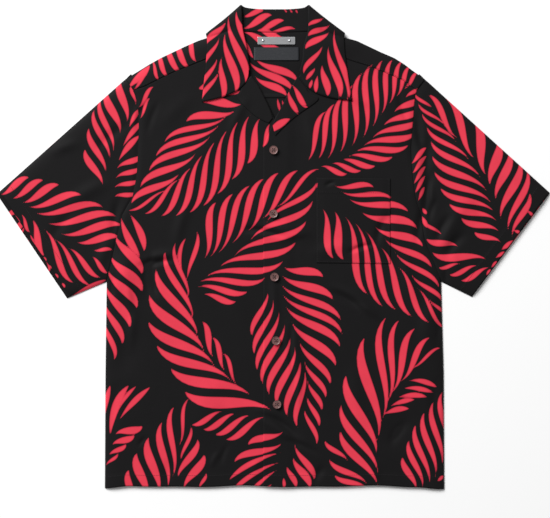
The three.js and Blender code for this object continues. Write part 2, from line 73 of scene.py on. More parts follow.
# The inner edge of each front. Plus numbers have not reached the middle line.
frontEdge = {
    "y": [0, 541, 568, 589, 609, 625, 641, 658, 666, 680, 697, 727],
    "right": [-18, -18, -7, 1, 10, 18, 27, 43, 50, 57.5, 66, 74],
    "left": [-18, -18, -8, 1, 13, 20, 28, 42, 50, 59, 68, 76],
}
cuff = {
    "right": {"top": (439, 470), "low": (327, 304), "backShows": 6},
    "left": {"top": (439, 469), "low": (315, 304), "backShows": 1.5},
}

# The back's solid starts at the hem's right end, which places the shirt in the frame.
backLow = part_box("back")[0]
origin = np.array([backLow.x + sideSeam["right"][0] / 1000, backLow.y, 0.0])


# Folds and creases: the middle's x and y, the turn from the X axis in degrees, then length,
# width and height, with minus heights for the troughs. The first rows are also in the solids.
foldRows = [
    (-240, 335, 96, 100, 17, 4.5), (-205, 333, 96, 90, 9, -2.6), (-186, 366, 15, 80, 9, 2.2),
    (-240, 210, 80, 90, 20, -1.6), (10, 410, 2, 130, 11, 2.0), (32, 208, 94, 190, 11, 2.2),
    (22, 85, -31, 170, 10, 2.4), (127, 301, -32, 100, 9, 1.8), (194, 92, 60, 90, 22, -1.6),
    (244, 258, 84, 120, 12, 1.8), (228, 500, 88, 120, 9, 2.2), (243, 520, 86, 120, 8, -2.2),
    (284, 420, 62, 130, 14, 2.4), (-336, 543, 17, 70, 9, 1.6), (-272, 374, 70, 80, 10, 2.0),
    (-110, 130, 72, 170, 24, 1.6), (-120, 520, 58, 150, 20, 1.4), (175, 585, 118, 130, 16, 1.6),
]
creaseRows = [
    (-196, 336, 99, 84, 5, -1.8), (-188, 357, 14, 66, 4, -1.2), (-232, 300, 102, 60, 6, 1.0),
    (-16, 408, -10, 90, 5, -1.8), (30, 400, 12, 60, 5, 0.7), (26, 214, 93, 120, 4, -1.1),
    (38, 150, 84, 70, 5, 0.8), (14, 98, -38, 96, 6, -1.9), (44, 66, -24, 80, 5, -1.0),
    (-12, 118, -20, 60, 6, 0.9), (70, 20, 62, 40, 6, -0.9), (116, 300, -30, 76, 6, -1.6),
    (150, 282, -34, 60, 6, 0.8), (196, 86, 54, 60, 7, -1.0), (-212, 72, 52, 26, 3, -0.6),
    (-82, 52, 70, 44, 4, -0.6), (-96, 44, 64, 34, 4, 0.6), (-150, 420, 74, 110, 9, 0.8),
    (-60, 590, 66, 90, 8, 0.7), (-160, 600, 44, 100, 12, 0.4), (60, 560, 108, 100, 9, 0.7),
    (130, 620, 150, 80, 7, 0.8), (205, 600, 112, 70, 5, -0.9), (-196, 590, 70, 70, 5, -0.5),
    (232, 420, 78, 90, 6, -1.2), (250, 470, 96, 70, 5, 0.6), (262, 250, 86, 60, 5, -0.9),
    (255, 130, 92, 100, 8, -0.8), (-258, 120, 88, 110, 8, -0.7), (130, 140, 100, 130, 14, 0.8),
    (90, 380, 12, 90, 10, 0.7), (137, 382, 18, 50, 4, -1.5), (88, 484, 18, 22, 3, -0.8),
    (-60, 300, 120, 130, 14, 0.7), (-30, 30, 80, 50, 8, 0.6), (160, 24, 96, 46, 9, 0.6),
    (-170, 26, 84, 50, 9, -0.6), (-300, 470, 30, 110, 11, 0.9), (-340, 420, 52, 90, 9, -0.7),
    (-262, 560, 40, 90, 8, -0.8), (-255, 430, 82, 90, 7, -0.9), (300, 500, 132, 110, 11, 0.9),
    (330, 430, 118, 90, 9, -0.7), (268, 560, 138, 90, 8, -0.8), (290, 350, 108, 70, 8, 0.4),
    (274, 330, 100, 50, 5, -0.9), (0, 300, 96, 90, 6, 0.6), (-228, 250, 84, 90, 7, 0.7),
    (212, 330, 102, 110, 10, 0.8), (180, 420, 80, 60, 8, -0.6), (-260, 320, 92, 40, 4, -1.0),
    (230, 566, 98, 84, 6, -1.4), (268, 414, 62, 64, 7, -1.4), (286, 388, 50, 60, 8, -1.3),
    (244, 470, 80, 90, 6, -1.3), (168, 410, 72, 64, 6, -1.0), (-192, 360, 12, 76, 5, -1.3),
    (250, 440, 74, 50, 5, -0.9), (-214, 600, 60, 50, 4, -0.9), (-222, 590, 74, 60, 5, 0.8),
]
# How much each table is strengthened, and how far a fold bows for its length.
foldGain = 1.25
creaseGain = 2.4
foldBow = 0.06


def smoothStep(value, low, high):
    share = np.clip((value - low) / (high - low), 0, 1)
    return share * share * (3 - 2 * share)


def mix(low, high, share):
    return low + (high - low) * share


def columnAt(table, side, y):
    return np.interp(y, table["y"], table[side])


def outerEdge(side, y):
    edge = np.where(y <= underarmY, columnAt(sideSeam, side, y), columnAt(armhole, side, y))
    return np.where(y > frontSeam["y"][0], columnAt(frontSeam, side, y), edge)


def foldedEdgeLines():
    lines = []
    for side, sign in signs.items():
        low = [(sign * x, y) for x, y in zip(sideSeam[side], sideSeam["y"])]
        lowX, lowY = cuff[side]["low"]
        topX, topY = cuff[side]["top"]
        top = [(sign * x, y) for x, y in zip(shoulder[side], shoulder["y"])]
        lines.append(low + [(sign * lowX, lowY)])
        lines.append([(sign * topX, topY)] + top)
    return lines


foldedEdges = foldedEdgeLines()


def edgeDistance(x, y):
    nearest = np.full(np.shape(x), np.inf)
    for line in foldedEdges:
        for (ax, ay), (bx, by) in zip(line, line[1:]):
            dx, dy = bx - ax, by - ay
            share = np.clip(((x - ax) * dx + (y - ay) * dy) / (dx * dx + dy * dy), 0, 1)
            nearest = np.minimum(nearest, np.hypot(x - ax - dx * share, y - ay - dy * share))
    return nearest


def foldHeight(x, y, rows):
    height = np.zeros(np.shape(x))
    for middleX, middleY, degrees, length, width, rise in rows:
        turn = math.radians(degrees)
        along = (x - middleX) * math.cos(turn) + (y - middleY) * math.sin(turn)
        across = (y - middleY) * math.cos(turn) - (x - middleX) * math.sin(turn)
        # A fold bows a little, so that none is a straight line.
        across = across + foldBow * length * (2 * along / length) ** 2
        taper = np.clip(1 - (2 * along / length) ** 2, 0, 1) ** 2
        height += rise * taper * np.exp(-((across / width) ** 2))
    return height


def backMiddle(x, y):
    reach = np.hypot(x / neckRise["halfWidth"], (y - neckRise["y"]) / neckRise["halfHeight"])
    rise = neckRise["height"] * (1 - smoothStep(reach, 1, neckRise["fade"]))
    return cloth["gap"] + cloth["thick"] / 2 + rise


def frontMiddle(x, y):
    near = np.clip(edgeDistance(x, y) / cloth["foldRound"], 0, 1)
    rounded = np.sqrt(1 - (1 - near) ** 2)
    folds = foldGain * foldHeight(x, y, foldRows) + creaseGain * foldHeight(x, y, creaseRows)
    lofted = np.maximum(cloth["leastLoft"], cloth["loft"] + folds) * rounded
    return backMiddle(x, y) + cloth["thick"] + cloth["gap"] + lofted


# The left front lies over the right one at the closing.
def leftFrontMiddle(x, y):
    return frontMiddle(x, y) + closing["rise"] * (1 - smoothStep(x, closing["overlap"], closing["end"]))


frontMiddles = {"right": frontMiddle, "left": leftFrontMiddle}


# The print is a plain leaf motif made by formula. A half frond is a row of leaflets between the
# rib and the outline. Each row gives how many leaflets it has, its guides and, where it isn't 1,
# how plump they are. A guide is a leaflet's number, the x and y of its root at the rib, and the x
# and y of its tip at the outline.
leaflet = {"widest": 15.5, "narrowest": 5.5, "ofPitch": 0.72, "ofLength": 0.2, "peak": 1.3, "full": 0.85,
           "before": 0.02, "beyond": 0.05, "leave": 26, "arrive": 36, "pull": 0.34, "steps": 14, "far": -5.0}
fronds = {
    "body": [
        (10, [(0, -7, 579, -19, 543), (2, -39, 592, -67, 495), (4, -74, 569, -113, 453),
              (7, -133, 508, -179, 435), (9, -170, 472, -232, 443)]),
        (8, [(0, -50, 632, -118, 634), (1, -53, 611, -112, 613), (3, -77, 592, -171, 552),
              (5, -104, 559, -196, 506), (7, -153, 500, -225, 454)], 1.2),
        (11, [(0, 52, 519, 80, 594), (2, 85, 524, 110, 619), (5, 141, 557, 155, 669),
              (8, 183, 611, 202, 676), (10, 207, 634, 227, 660)]),
        (10, [(0, 75, 510, 114, 499), (2, 107, 520, 159, 512), (4, 130, 533, 210, 544),
              (6, 158, 556, 230, 587), (9, 210, 620, 230, 637)], 1.22),
        (7, [(0, -112, 365, -94, 450), (2, -89, 375, -41, 476),
              (4, -41, 410, 5, 496), (6, 2, 446, 68, 503)]),
        (8, [(0, -113, 306, -64, 296), (1, -122, 318, -46, 312), (3, -109, 334, 8, 358),
              (5, -62, 369, 46, 421), (7, -12, 420, 65, 484)]),
        (9, [(0, 96, 481, 155, 478), (2, 119, 460, 210, 438), (4, 161, 415, 234, 383),
              (6, 193, 374, 260, 318), (8, 247, 300, 273, 270)]),
        (8, [(0, 76, 443, 93, 368), (1, 95, 439, 109, 366), (2, 112, 430, 148, 311),
              (4, 144, 407, 193, 286), (7, 225, 317, 273, 254)]),
        (8, [(0, -6, 120, -138, 151), (3, -97, 193, -197, 261), (6, -131, 265, -172, 372),
              (7, -138, 296, -157, 385)], 1.22),
        (4, [(0, -17, 110, -75, 77), (3, -84, 119, -130, 100)]),
        (3, [(0, -59, 162, -82, 211), (2, -97, 206, -115, 261)], 1.5),
        (11, [(0, 15, 350, 75, 334), (2, 11, 323, 102, 266), (4, 18, 288, 101, 224),
              (6, 40, 232, 87, 164), (8, 54, 168, 74, 122), (10, 48, 126, 66, 69)]),
        (8, [(0, -11, 311, -34, 242), (2, 6, 279, -25, 188),
              (4, 24, 240, -7, 150), (7, 47, 184, 38, 97)]),
        (9, [(0, 164, 0, 108, 85), (1, 164, 21, 109, 125), (2, 162, 50, 117, 172), (3, 164, 77, 145, 230),
              (4, 171, 107, 178, 262), (5, 179, 134, 199, 260), (6, 187, 150, 223, 247),
              (7, 202, 168, 246, 234), (8, 217, 188, 265, 219)], 1.05),
        (3, [(0, 148, -5, 98, 17), (1, 148, 2, 90, 41), (2, 117, 39, 82, 71)]),
        (6, [(0, -255, 404, -214, 341), (1, -262, 370, -214, 313), (2, -266, 347, -222, 287),
              (3, -269, 322, -233, 256), (5, -272, 270, -257, 205)]),
        (6, [(0, -227, -31, -232, 24), (1, -204, -19, -219, 50), (3, -172, -2, -179, 98),
              (4, -164, 15, -160, 123), (5, -154, 64, -137, 137)], 0.98),
        (4, [(0, -120, -4, -110, 20), (1, -144, -3, -114, 49), (2, -154, 13, -124, 73),
              (3, -149, 37, -135, 95)], 1.05),
        (4, [(0, -269, 33, -251, 52), (3, -254, 83, -213, 96)], 1.4),
        (2, [(0, 13, 87, -40, 67), (1, 12, 69, -61, 40)], 0.95),
        (4, [(0, 33, 66, 62, 12), (1, 30, 46, 55, -1), (2, 20, 33, 33, -1), (3, 16, 14, 14, -2)], 1.2),
        (6, [(0, 226, -6, 206, 44), (2, 246, 3, 227, 94),
              (4, 266, 32, 255, 130), (5, 275, 57, 269, 146)]),
        (2, [(0, -218, 605, -194, 637), (1, -216, 587, -199, 619)]),
    ],
    "sleeveRight": [
        (7, [(0, -275, 481, -301, 536), (1, -270, 500, -295, 569), (2, -264, 521, -287, 598),
              (3, -258, 536, -277, 616), (4, -247, 565, -267, 630), (5, -236, 583, -246, 650),
              (6, -222, 610, -228, 640)]),
        (4, [(0, -257, 462, -222, 470), (3, -251, 508, -213, 530)], 1.0),
        (9, [(0, -438, 466, -394, 492), (2, -402, 454, -346, 480), (4, -382, 438, -278, 445),
              (6, -340, 404, -247, 415), (8, -290, 378, -260, 377)]),
        (6, [(0, -404, 434, -391, 407), (1, -388, 427, -368, 371), (2, -368, 410, -323, 329),
              (4, -329, 380, -280, 336), (5, -292, 367, -267, 342)]),
    ],
    "sleeveLeft": [
        (11, [(0, 361, 390, 321, 406), (2, 353, 425, 282, 451), (4, 345, 453, 259, 501),
              (6, 328, 493, 253, 550), (8, 290, 549, 238, 594), (10, 253, 601, 225, 627)]),
        (8, [(0, 380, 399, 406, 466), (1, 374, 408, 402, 501), (2, 362, 428, 390, 516),
              (3, 354, 458, 374, 532), (4, 345, 481, 356, 548), (5, 338, 498, 319, 580),
              (6, 320, 524, 276, 615), (7, 291, 558, 246, 623)], 1.1),
        (3, [(0, 338, 362, 256, 373), (1, 293, 383, 245, 395), (2, 267, 401, 239, 424)], 1.0),
        (3, [(0, 342, 349, 300, 330), (1, 323, 352, 281, 339), (2, 296, 355, 263, 350)], 0.9),
    ],
    "yokeRight": [
        (5, [(0, -197, 682, -184, 650), (1, -192, 700, -170, 656), (2, -184, 712, -149, 663),
              (3, -167, 721, -136, 670), (4, -140, 727, -125, 680)], 0.8),
    ],
    "collarRight": [
        (4, [(0, -78, 742, -108, 706), (1, -89, 716, -111, 671),
              (2, -92, 685, -115, 634), (3, -90, 663, -116, 616)], 1.05),
        (4, [(0, -60, 758, -42, 688), (1, -72, 750, -48, 641),
              (2, -78, 722, -64, 631), (3, -83, 685, -85, 620)], 1.2),
    ],
    "collarLeft": [
        (4, [(0, 79, 749, 55, 735), (1, 88, 737, 55, 719), (2, 87, 726, 51, 699),
              (3, 76, 704, 48, 661)], 1.1),
        (3, [(0, 97, 729, 114, 619), (1, 87, 701, 102, 622), (2, 77, 673, 83, 625)], 1.15),
    ],
    "inside": [
        (4, [(0, -52, 751, -18, 759), (1, -51, 732, -6, 752), (2, -30, 728, 14, 743),
              (3, -13, 727, 32, 730)], 1.1),
        (2, [(0, -50, 725, 7, 702), (1, -29, 729, 14, 717)], 1.3),
        (3, [(0, -30, 684, 34, 648), (1, -40, 679, 27, 632), (2, -30, 655, 17, 625)], 1.25),
    ],
}

# Leaflets on their own: the x and y of the root and of the tip, the width, and how many degrees
# the leaflet turns off the straight line at its root and at its tip.
strays = {
    "body": [
        (-138, 327, -124, 408, 8, 18, 28), (-144, 333, -141, 397, 6.5, 30, -38),
        (-232, 437, -208, 375, 11.5, 12, -24), (-246, 432, -214, 366, 12, -14, 12),
        (214, 168, 260, 157, 8.5, 22, -20), (205, 155, 254, 149, 8, 20, -12),
        (197, 141, 244, 142, 8.5, 18, -16),
        (185, 127, 224, 138, 8, 14, -12), (174, 114, 215, 123, 9.5, 14, -20),
        (-271, 112, -262, 162, 8, 8, -8), (-263, 78, -232, 162, 13, 16, -26),
        (-250, 118, -221, 160, 6.5, 22, -14), (-248, 106, -198, 159, 9.5, 10, -8),
        (10, 53, -73, 10, 9, -16, 20), (10, 38, -74, -16, 8, -18, 20), (5, 26, -44, -15, 6.5, -10, 10),
        (-4, 3, -22, -12, 5.5, 0, 0), (260, 7, 270, 16, 6, 0, 0),
    ],
    "backNeck": [(4, 622, 9, 598, 4.5, 0, 0), (10, 620, 20, 602, 4, 0, 10)],
    "inside": [
        (-50, 716, -33, 684, 6, 10, 20), (15, 763, 20, 757, 3, 0, 0), (24, 763, 29, 756, 3, 0, 0),
        (33, 763, 37, 756, 3, 0, 0),
    ],
    "lapelLeft": [
        (22, 634, 39, 593, 9, -24, 8), (27, 642, 54, 603, 9.5, 12, 22), (-13, 560, 25, 587, 12, 12, -14),
    ],
    "collarLeft": [
        (66, 670, 50, 648, 6.5, 12, 12), (61, 651, 56, 635, 5.5, 0, 10), (69, 656, 66, 628, 7.5, -8, 8),
    ],
    "sleeveRight": [
        (-326, 303, -268, 331, 9, 0, 0), (-425, 440, -405, 422, 6, 10, 20), (-391, 404, -378, 371, 6, 8, 12),
        (-369, 367, -365, 360, 5, 0, 0), (-361, 354, -357, 347, 5, 0, 0), (-350, 340, -346, 333, 5, 0, 0),
        (-339, 325, -335, 318, 5, 0, 0), (-232, 573, -215, 604, 7.5, 8, -8),
        (-242, 543, -209, 585, 8.5, 10, -10),
        (-249, 520, -215, 561, 10, 10, -10),
    ],
    "sleeveLeft": [
        (362, 377, 382, 393, 8.5, 10, 10), (353, 365, 368, 375, 6, 0, 0), (346, 349, 355, 360, 5, 0, 0),
        (338, 337, 345, 347, 5, 0, 0), (404, 441, 414, 431, 5, 0, 0), (382, 409, 393, 405, 5.5, 0, 0),
        (218, 514, 243, 542, 8, -8, -16), (219, 498, 243, 528, 7.5, -8, -16),
        (221, 482, 242, 512, 7, -8, -16),
        (223, 467, 241, 496, 6.5, -8, -16), (229, 456, 240, 479, 6, -8, -12),
        (236, 445, 243, 435, 6, 0, 0), (236, 432, 244, 413, 7, 0, 0),
    ],
    "yokeRight": [(-235, 634, -199, 673, 12, 6, 10), (-227, 632, -201, 660, 6, -22, -34)],
}


# A smooth curve through the values at the keys, read at the wanted places.
def curveThrough(keys, values, wanted):
    keys = np.array(keys, float)
    values = np.array(values, float)
    if len(keys) > 2:
        slopes = np.gradient(values, keys, axis=0)
    else:
        slopes = np.repeat((values[1:] - values[:1]) / (keys[1] - keys[0]), 2, axis=0)
    wanted = np.asarray(wanted, float)
    k = np.clip(np.searchsorted(keys, wanted) - 1, 0, len(keys) - 2)
    span = (keys[k + 1] - keys[k])[:, None]
    t = (wanted[:, None] - keys[k][:, None]) / span
    start = (2 * t**3 - 3 * t**2 + 1) * values[k] + (t**3 - 2 * t**2 + t) * span * slopes[k]
    end = (3 * t**2 - 2 * t**3) * values[k + 1] + (t**3 - t**2) * span * slopes[k + 1]
    return start + end


def turned(way, degrees):
    turn = math.radians(degrees)
    return np.array([way[0] * math.cos(turn) - way[1] * math.sin(turn),
                     way[0] * math.sin(turn) + way[1] * math.cos(turn)])


# The four corners of the curve along a leaflet's middle.
def leafletCorners(root, tip, leaveTurn, arriveTurn):
    length = np.hypot(*(tip - root))
    way = (tip - root) / length
    pull = length * leaflet["pull"]
    return [root, root + turned(way, leaveTurn) * pull, tip - turned(way, arriveTurn) * pull, tip]


def strayLeaflet(rootX, rootY, tipX, tipY, width, leaveTurn, arriveTurn):
    root, tip = np.array([rootX, rootY], float), np.array([tipX, tipY], float)
    return leafletCorners(root, tip, leaveTurn, arriveTurn), width


def leafletsOf(halfFrond):
    count, guides = halfFrond[:2]
    plump = halfFrond[2] if len(halfFrond) > 2 else 1
    ends = curveThrough([guide[0] for guide in guides], [guide[1:] for guide in guides], range(count))
    made = []
    for i in range(count):
        root, tip = ends[i][:2], ends[i][2:]
        root, tip = mix(root, tip, -leaflet["before"]), mix(root, tip, 1 + leaflet["beyond"])
        before, after = ends[max(0, i - 1)], ends[min(count - 1, i + 1)]
        onward = (after[:2] - before[:2]) + (after[2:] - before[2:])
        chord = tip - root
        length = np.hypot(*chord)
        cross = chord[0] * onward[1] - chord[1] * onward[0]
        # Onward adds root and tip, over one step at the ends of a row and over two elsewhere.
        pitch = abs(cross) / length / (2 if i in (0, count - 1) else 4)
        width = min(leaflet["widest"], pitch * leaflet["ofPitch"], length * leaflet["ofLength"])
        side = np.sign(cross)
        corners = leafletCorners(root, tip, side * leaflet["leave"], side * leaflet["arrive"])
        made.append((corners, max(leaflet["narrowest"], width * plump)))
    return made


def leafletLine(corners):
    t = np.linspace(0, 1, leaflet["steps"] + 1)[:, None]
    a, b, c, d = corners
    return a * (1 - t) ** 3 + 3 * b * t * (1 - t) ** 2 + 3 * c * t**2 * (1 - t) + d * t**3


# How far inside the nearest leaflet each place is, in millimetres, with minus numbers outside.
# The print can be moved: turned by degrees and then shifted in x and y.
def leafDistance(x, y, names, moved=(0, 0, 0)):
    degrees, shiftX, shiftY = moved
    turn = math.radians(degrees)
    fromX, fromY = np.ravel(x) - shiftX, np.ravel(y) - shiftY
    flatX = fromX * math.cos(turn) + fromY * math.sin(turn)
    flatY = fromY * math.cos(turn) - fromX * math.sin(turn)
    drawn = []
    for name in names:
        for halfFrond in fronds.get(name, []):
            drawn += leafletsOf(halfFrond)
        drawn += [strayLeaflet(*row) for row in strays.get(name, [])]
    form = np.sin(np.pi * np.linspace(0, 1, leaflet["steps"] + 1) ** leaflet["peak"])
    form = np.maximum(form, 0) ** leaflet["full"]
    distance = np.full(flatX.shape, leaflet["far"])
    for corners, width in drawn:
        line = leafletLine(corners)
        halves = width / 2 * form
        low, high = line.min(0) - width, line.max(0) + width
        inside = (flatX > low[0]) & (flatX < high[0]) & (flatY > low[1]) & (flatY < high[1])
        near = np.nonzero(inside)[0]
        best = np.full(near.shape, leaflet["far"])
        for i in range(leaflet["steps"]):
            step = line[i + 1] - line[i]
            offX, offY = flatX[near] - line[i][0], flatY[near] - line[i][1]
            share = np.clip((offX * step[0] + offY * step[1]) / (step @ step), 0, 1)
            away = np.hypot(offX - step[0] * share, offY - step[1] * share)
            best = np.maximum(best, mix(halves[i], halves[i + 1], share) - away)
        distance[near] = np.maximum(distance[near], best)
    return distance.reshape(np.shape(x))


def srgb(hexCode):
    parts = [int(hexCode[i:i + 2], 16) / 255 for i in (1, 3, 5)]
    return [part / 12.92 if part <= 0.04045 else ((part + 0.055) / 1.055) ** 2.4 for part in parts] + [1.0]


def newMaterial(name, hexCode, roughness, metallic=0.0, specular=0.5):
    material = bpy.data.materials.new(name)
    material.use_nodes = True
    shader = material.node_tree.nodes["Principled BSDF"]
    shader.inputs["Base Color"].default_value = srgb(hexCode)
    shader.inputs["Roughness"].default_value = roughness
    shader.inputs["Metallic"].default_value = metallic
    shader.inputs["Specular IOR Level"].default_value = specular
    return material, material.node_tree, shader


def addNode(tree, kind, sockets=None, **settings):
    node = tree.nodes.new(kind)
    for key, value in settings.items():
        setattr(node, key, value)
    for key, value in (sockets or {}).items():
        if isinstance(value, bpy.types.NodeSocket):
            tree.links.new(value, node.inputs[key])
        else:
            node.inputs[key].default_value = value
    return node


# The last steps of most materials: a pattern shades the colour between two tones, and a pattern
# raises the surface, by a depth in millimetres.
def shadeAndRaise(tree, shader, color, pattern, tones, height, strength, depth, span=(0, 1)):
    tone = addNode(tree, "ShaderNodeMapRange", {"Value": pattern, "From Min": span[0], "From Max": span[1],
                                                "To Min": tones[0], "To Max": tones[1]})
    shade = addNode(tree, "ShaderNodeHueSaturation", {"Color": color, "Value": tone.outputs["Result"]})
    tree.links.new(shade.outputs["Color"], shader.inputs["Base Color"])
    bump = addNode(tree, "ShaderNodeBump",
                   {"Height": height, "Strength": strength, "Distance": depth / 1000})
    tree.links.new(bump.outputs["Normal"], shader.inputs["Normal"])


# Rayon cloth, plain woven and printed: matt, with a faint sheen. The black ground is the dye and
# the leaves are left coral, darker along their rims. Real yarns of about 0.3 mm are too fine to
# show, so they are drawn at 0.9 mm. The dye takes a little unevenly, in patches of 26 mm.
rayon = {"ground": "#131213", "coral": "#e33d50", "edge": "#bd2a40", "roughness": 0.66, "specular": 0.11,
         "sheen": 0.05, "sheenRoughness": 0.5, "outline": (-0.35, 0.35), "rim": (0.2, 1.9),
         "yarn": 0.9, "slub": 7.0, "bump": 0.35, "depth": 0.2, "patch": 26.3, "tones": (0.9, 1.1)}


def makeRayon():
    look = rayon
    material, tree, shader = newMaterial("printed_rayon", look["ground"], look["roughness"],
                                         specular=look["specular"])
    shader.inputs["Sheen Weight"].default_value = look["sheen"]
    shader.inputs["Sheen Roughness"].default_value = look["sheenRoughness"]
    place = addNode(tree, "ShaderNodeTexCoord").outputs["Object"]
    # The attribute holds how far inside a leaflet each point is, in millimetres.
    leaf = addNode(tree, "ShaderNodeAttribute", attribute_name="leaf").outputs["Fac"]
    masks = []
    for low, high in (look["outline"], look["rim"]):
        mask = addNode(tree, "ShaderNodeMapRange", {"Value": leaf, "From Min": low, "From Max": high},
                       interpolation_type="SMOOTHSTEP")
        masks.append(mask.outputs["Result"])
    coral = addNode(tree, "ShaderNodeMix", {0: masks[1], 6: srgb(look["edge"]), 7: srgb(look["coral"])},
                    data_type="RGBA")
    dyed = addNode(tree, "ShaderNodeMix", {0: masks[0], 6: srgb(look["ground"]), 7: coral.outputs[2]},
                   data_type="RGBA")
    patches = addNode(tree, "ShaderNodeTexNoise",
                      {"Vector": place, "Scale": 1000 / look["patch"], "Detail": 3.0})
    # Warp and weft, each a noise drawn out along its yarns.
    heights = []
    drawnOut = look["yarn"] / look["slub"]
    for stretch in ((1.0, drawnOut, 1.0), (drawnOut, 1.0, 1.0)):
        way = addNode(tree, "ShaderNodeMapping", {"Vector": place, "Scale": stretch})
        yarns = addNode(tree, "ShaderNodeTexNoise",
                        {"Vector": way.outputs["Vector"], "Scale": 1000 / look["yarn"], "Detail": 1.0})
        heights.append(yarns.outputs["Fac"])
    weave = addNode(tree, "ShaderNodeMath", {0: heights[0], 1: heights[1]}, operation="ADD")
    shadeAndRaise(tree, shader, dyed.outputs[2], patches.outputs["Fac"], look["tones"],
                  weave.outputs["Value"], look["bump"], look["depth"])
    return material


printedRayon = makeRayon()


# Closes a grid of middle points (rows, columns, xyz in millimetres) into a shell of even
# thickness. The leaf distance of every point goes with it. A ring joins its last row to its first.
def makeShell(name, grid, leaf, thick, material, ring=False, keep=None):
    rows, columns = grid.shape[:2]
    if ring:
        padded = np.concatenate([grid[-1:], grid, grid[:1]])
        alongRows = np.gradient(padded, axis=0)[1:-1]
    else:
        alongRows = np.gradient(grid, axis=0)
    normal = np.cross(np.gradient(grid, axis=1), alongRows)
    normal /= np.maximum(np.linalg.norm(normal, axis=2, keepdims=True), 1e-9)
    sides = [grid + normal * thick / 2, grid - normal * thick / 2]
    points = np.concatenate([side.reshape(-1, 3) for side in sides]) * 0.001 + origin
    count = rows * columns
    cellRows = rows if ring else rows - 1
    kept = np.ones((cellRows, columns - 1), bool) if keep is None else keep
    row, column = np.nonzero(kept)
    above = (row + 1) % rows
    corner = [row * columns + column, row * columns + column + 1,
              above * columns + column + 1, above * columns + column]
    faces = [np.stack(corner, 1), np.stack(corner[::-1], 1) + count]
    around = np.zeros((cellRows + 2, columns + 1), bool)
    around[1:-1, 1:-1] = kept
    if ring:
        around[0], around[-1] = around[-2].copy(), around[1].copy()
    # A wall closes the rim wherever a cell has no neighbour on that side.
    neighbours = {(-1, 0): (0, 1), (0, 1): (1, 2), (1, 0): (2, 3), (0, -1): (3, 0)}
    for (stepRow, stepColumn), (a, b) in neighbours.items():
        alone = ~around[row + 1 + stepRow, column + 1 + stepColumn]
        first, second = corner[a][alone], corner[b][alone]
        faces.append(np.stack([second, first, first + count, second + count], 1))
    faces = np.concatenate(faces)
    used = np.unique(faces)
    renumber = np.zeros(2 * count, int)
    renumber[used] = np.arange(len(used))
    mesh = bpy.data.meshes.new(name)
    mesh.from_pydata(points[used].tolist(), [], renumber[faces].tolist())
    mesh.polygons.foreach_set("use_smooth", np.ones(len(faces), bool))
    attribute = mesh.attributes.new("leaf", "FLOAT", "POINT")
    attribute.data.foreach_set("value", np.tile(np.ravel(leaf), 2)[used].astype(np.float32))
    mesh.materials.append(material)
    piece = bpy.data.objects.new(name, mesh)
    bpy.context.scene.collection.objects.link(piece)
    return piece


def gridArea(grid):
    across = grid[1:, 1:] - grid[:-1, :-1]
    other = grid[1:, :-1] - grid[:-1, 1:]
    return float(np.linalg.norm(np.cross(across, other), axis=2).sum() / 2 * 1e-6)


# A sewn piece: its shell, which takes the place of its solid.
def makeCloth(name, node, grid, leaf, flat, held, restsOn, thick=cloth["thick"], area=None, **shape):
    piece = makeShell(name, grid, leaf, thick, printedRayon, **shape)
    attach(piece, "root")
    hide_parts(node)


print("back")
# The hem is a little wavy and falls lower at the side seams.
hem = {"wave": 1.0, "waveLength": 31, "ripple": 0.7, "rippleLength": 17, "rippleStart": 1.3,
       "sideDrop": 4.5, "sideFrom": 226, "sideTo": 268, "fade": 60}
backPiece = {"columns": 180, "rows": 208, "neckFrom": 585, "neckHalf": 75, "printTurn": (180, 14, 640),
             "flat": (0.542, 0.63)}


def hemDrop(x, y):
    wave = hem["wave"] * np.sin(x / hem["waveLength"])
    ripple = hem["ripple"] * np.sin(x / hem["rippleLength"] + hem["rippleStart"])
    side = hem["sideDrop"] * smoothStep(np.abs(x), hem["sideFrom"], hem["sideTo"])
    return (wave + ripple + side) * (1 - smoothStep(y, 0, hem["fade"]))


def makeBack():
    look = backPiece
    levels = np.linspace(0, yokeSeamY, look["rows"])[:, None]
    share = np.linspace(0, 1, look["columns"])[None, :]
    x = mix(-outerEdge("right", levels), outerEdge("left", levels), share)
    y = levels + np.zeros_like(x)
    grid = np.stack([x, y - hemDrop(x, y), backMiddle(x, y)], 2)
    inNeck = (y > look["neckFrom"]) & (np.abs(x) < look["neckHalf"])
    hidden = leafDistance(x, y, ["body"], look["printTurn"])
    leaf = np.where(inNeck, leafDistance(x, y, ["backNeck"]), hidden)
    makeCloth("back_panel", "back", grid, leaf, look["flat"], "laid", [])


makeBack()

print("fronts")
frontPiece = {"columns": 126, "rows": 300, "top": 701, "allowance": 4, "hem": 20, "hemRise": 0.25,
              "seamDip": 0.9, "seamWidth": 4, "seamStart": 6, "printSlip": {"right": 0.0, "left": 0.9},
              "flat": (0.292, 0.71)}


# A turned hem is double cloth from the edge to its stitching.
def hemStep(fromEdge, look):
    return look["hemRise"] * (1 - smoothStep(fromEdge, look["hem"] - 1, look["hem"] + 1))


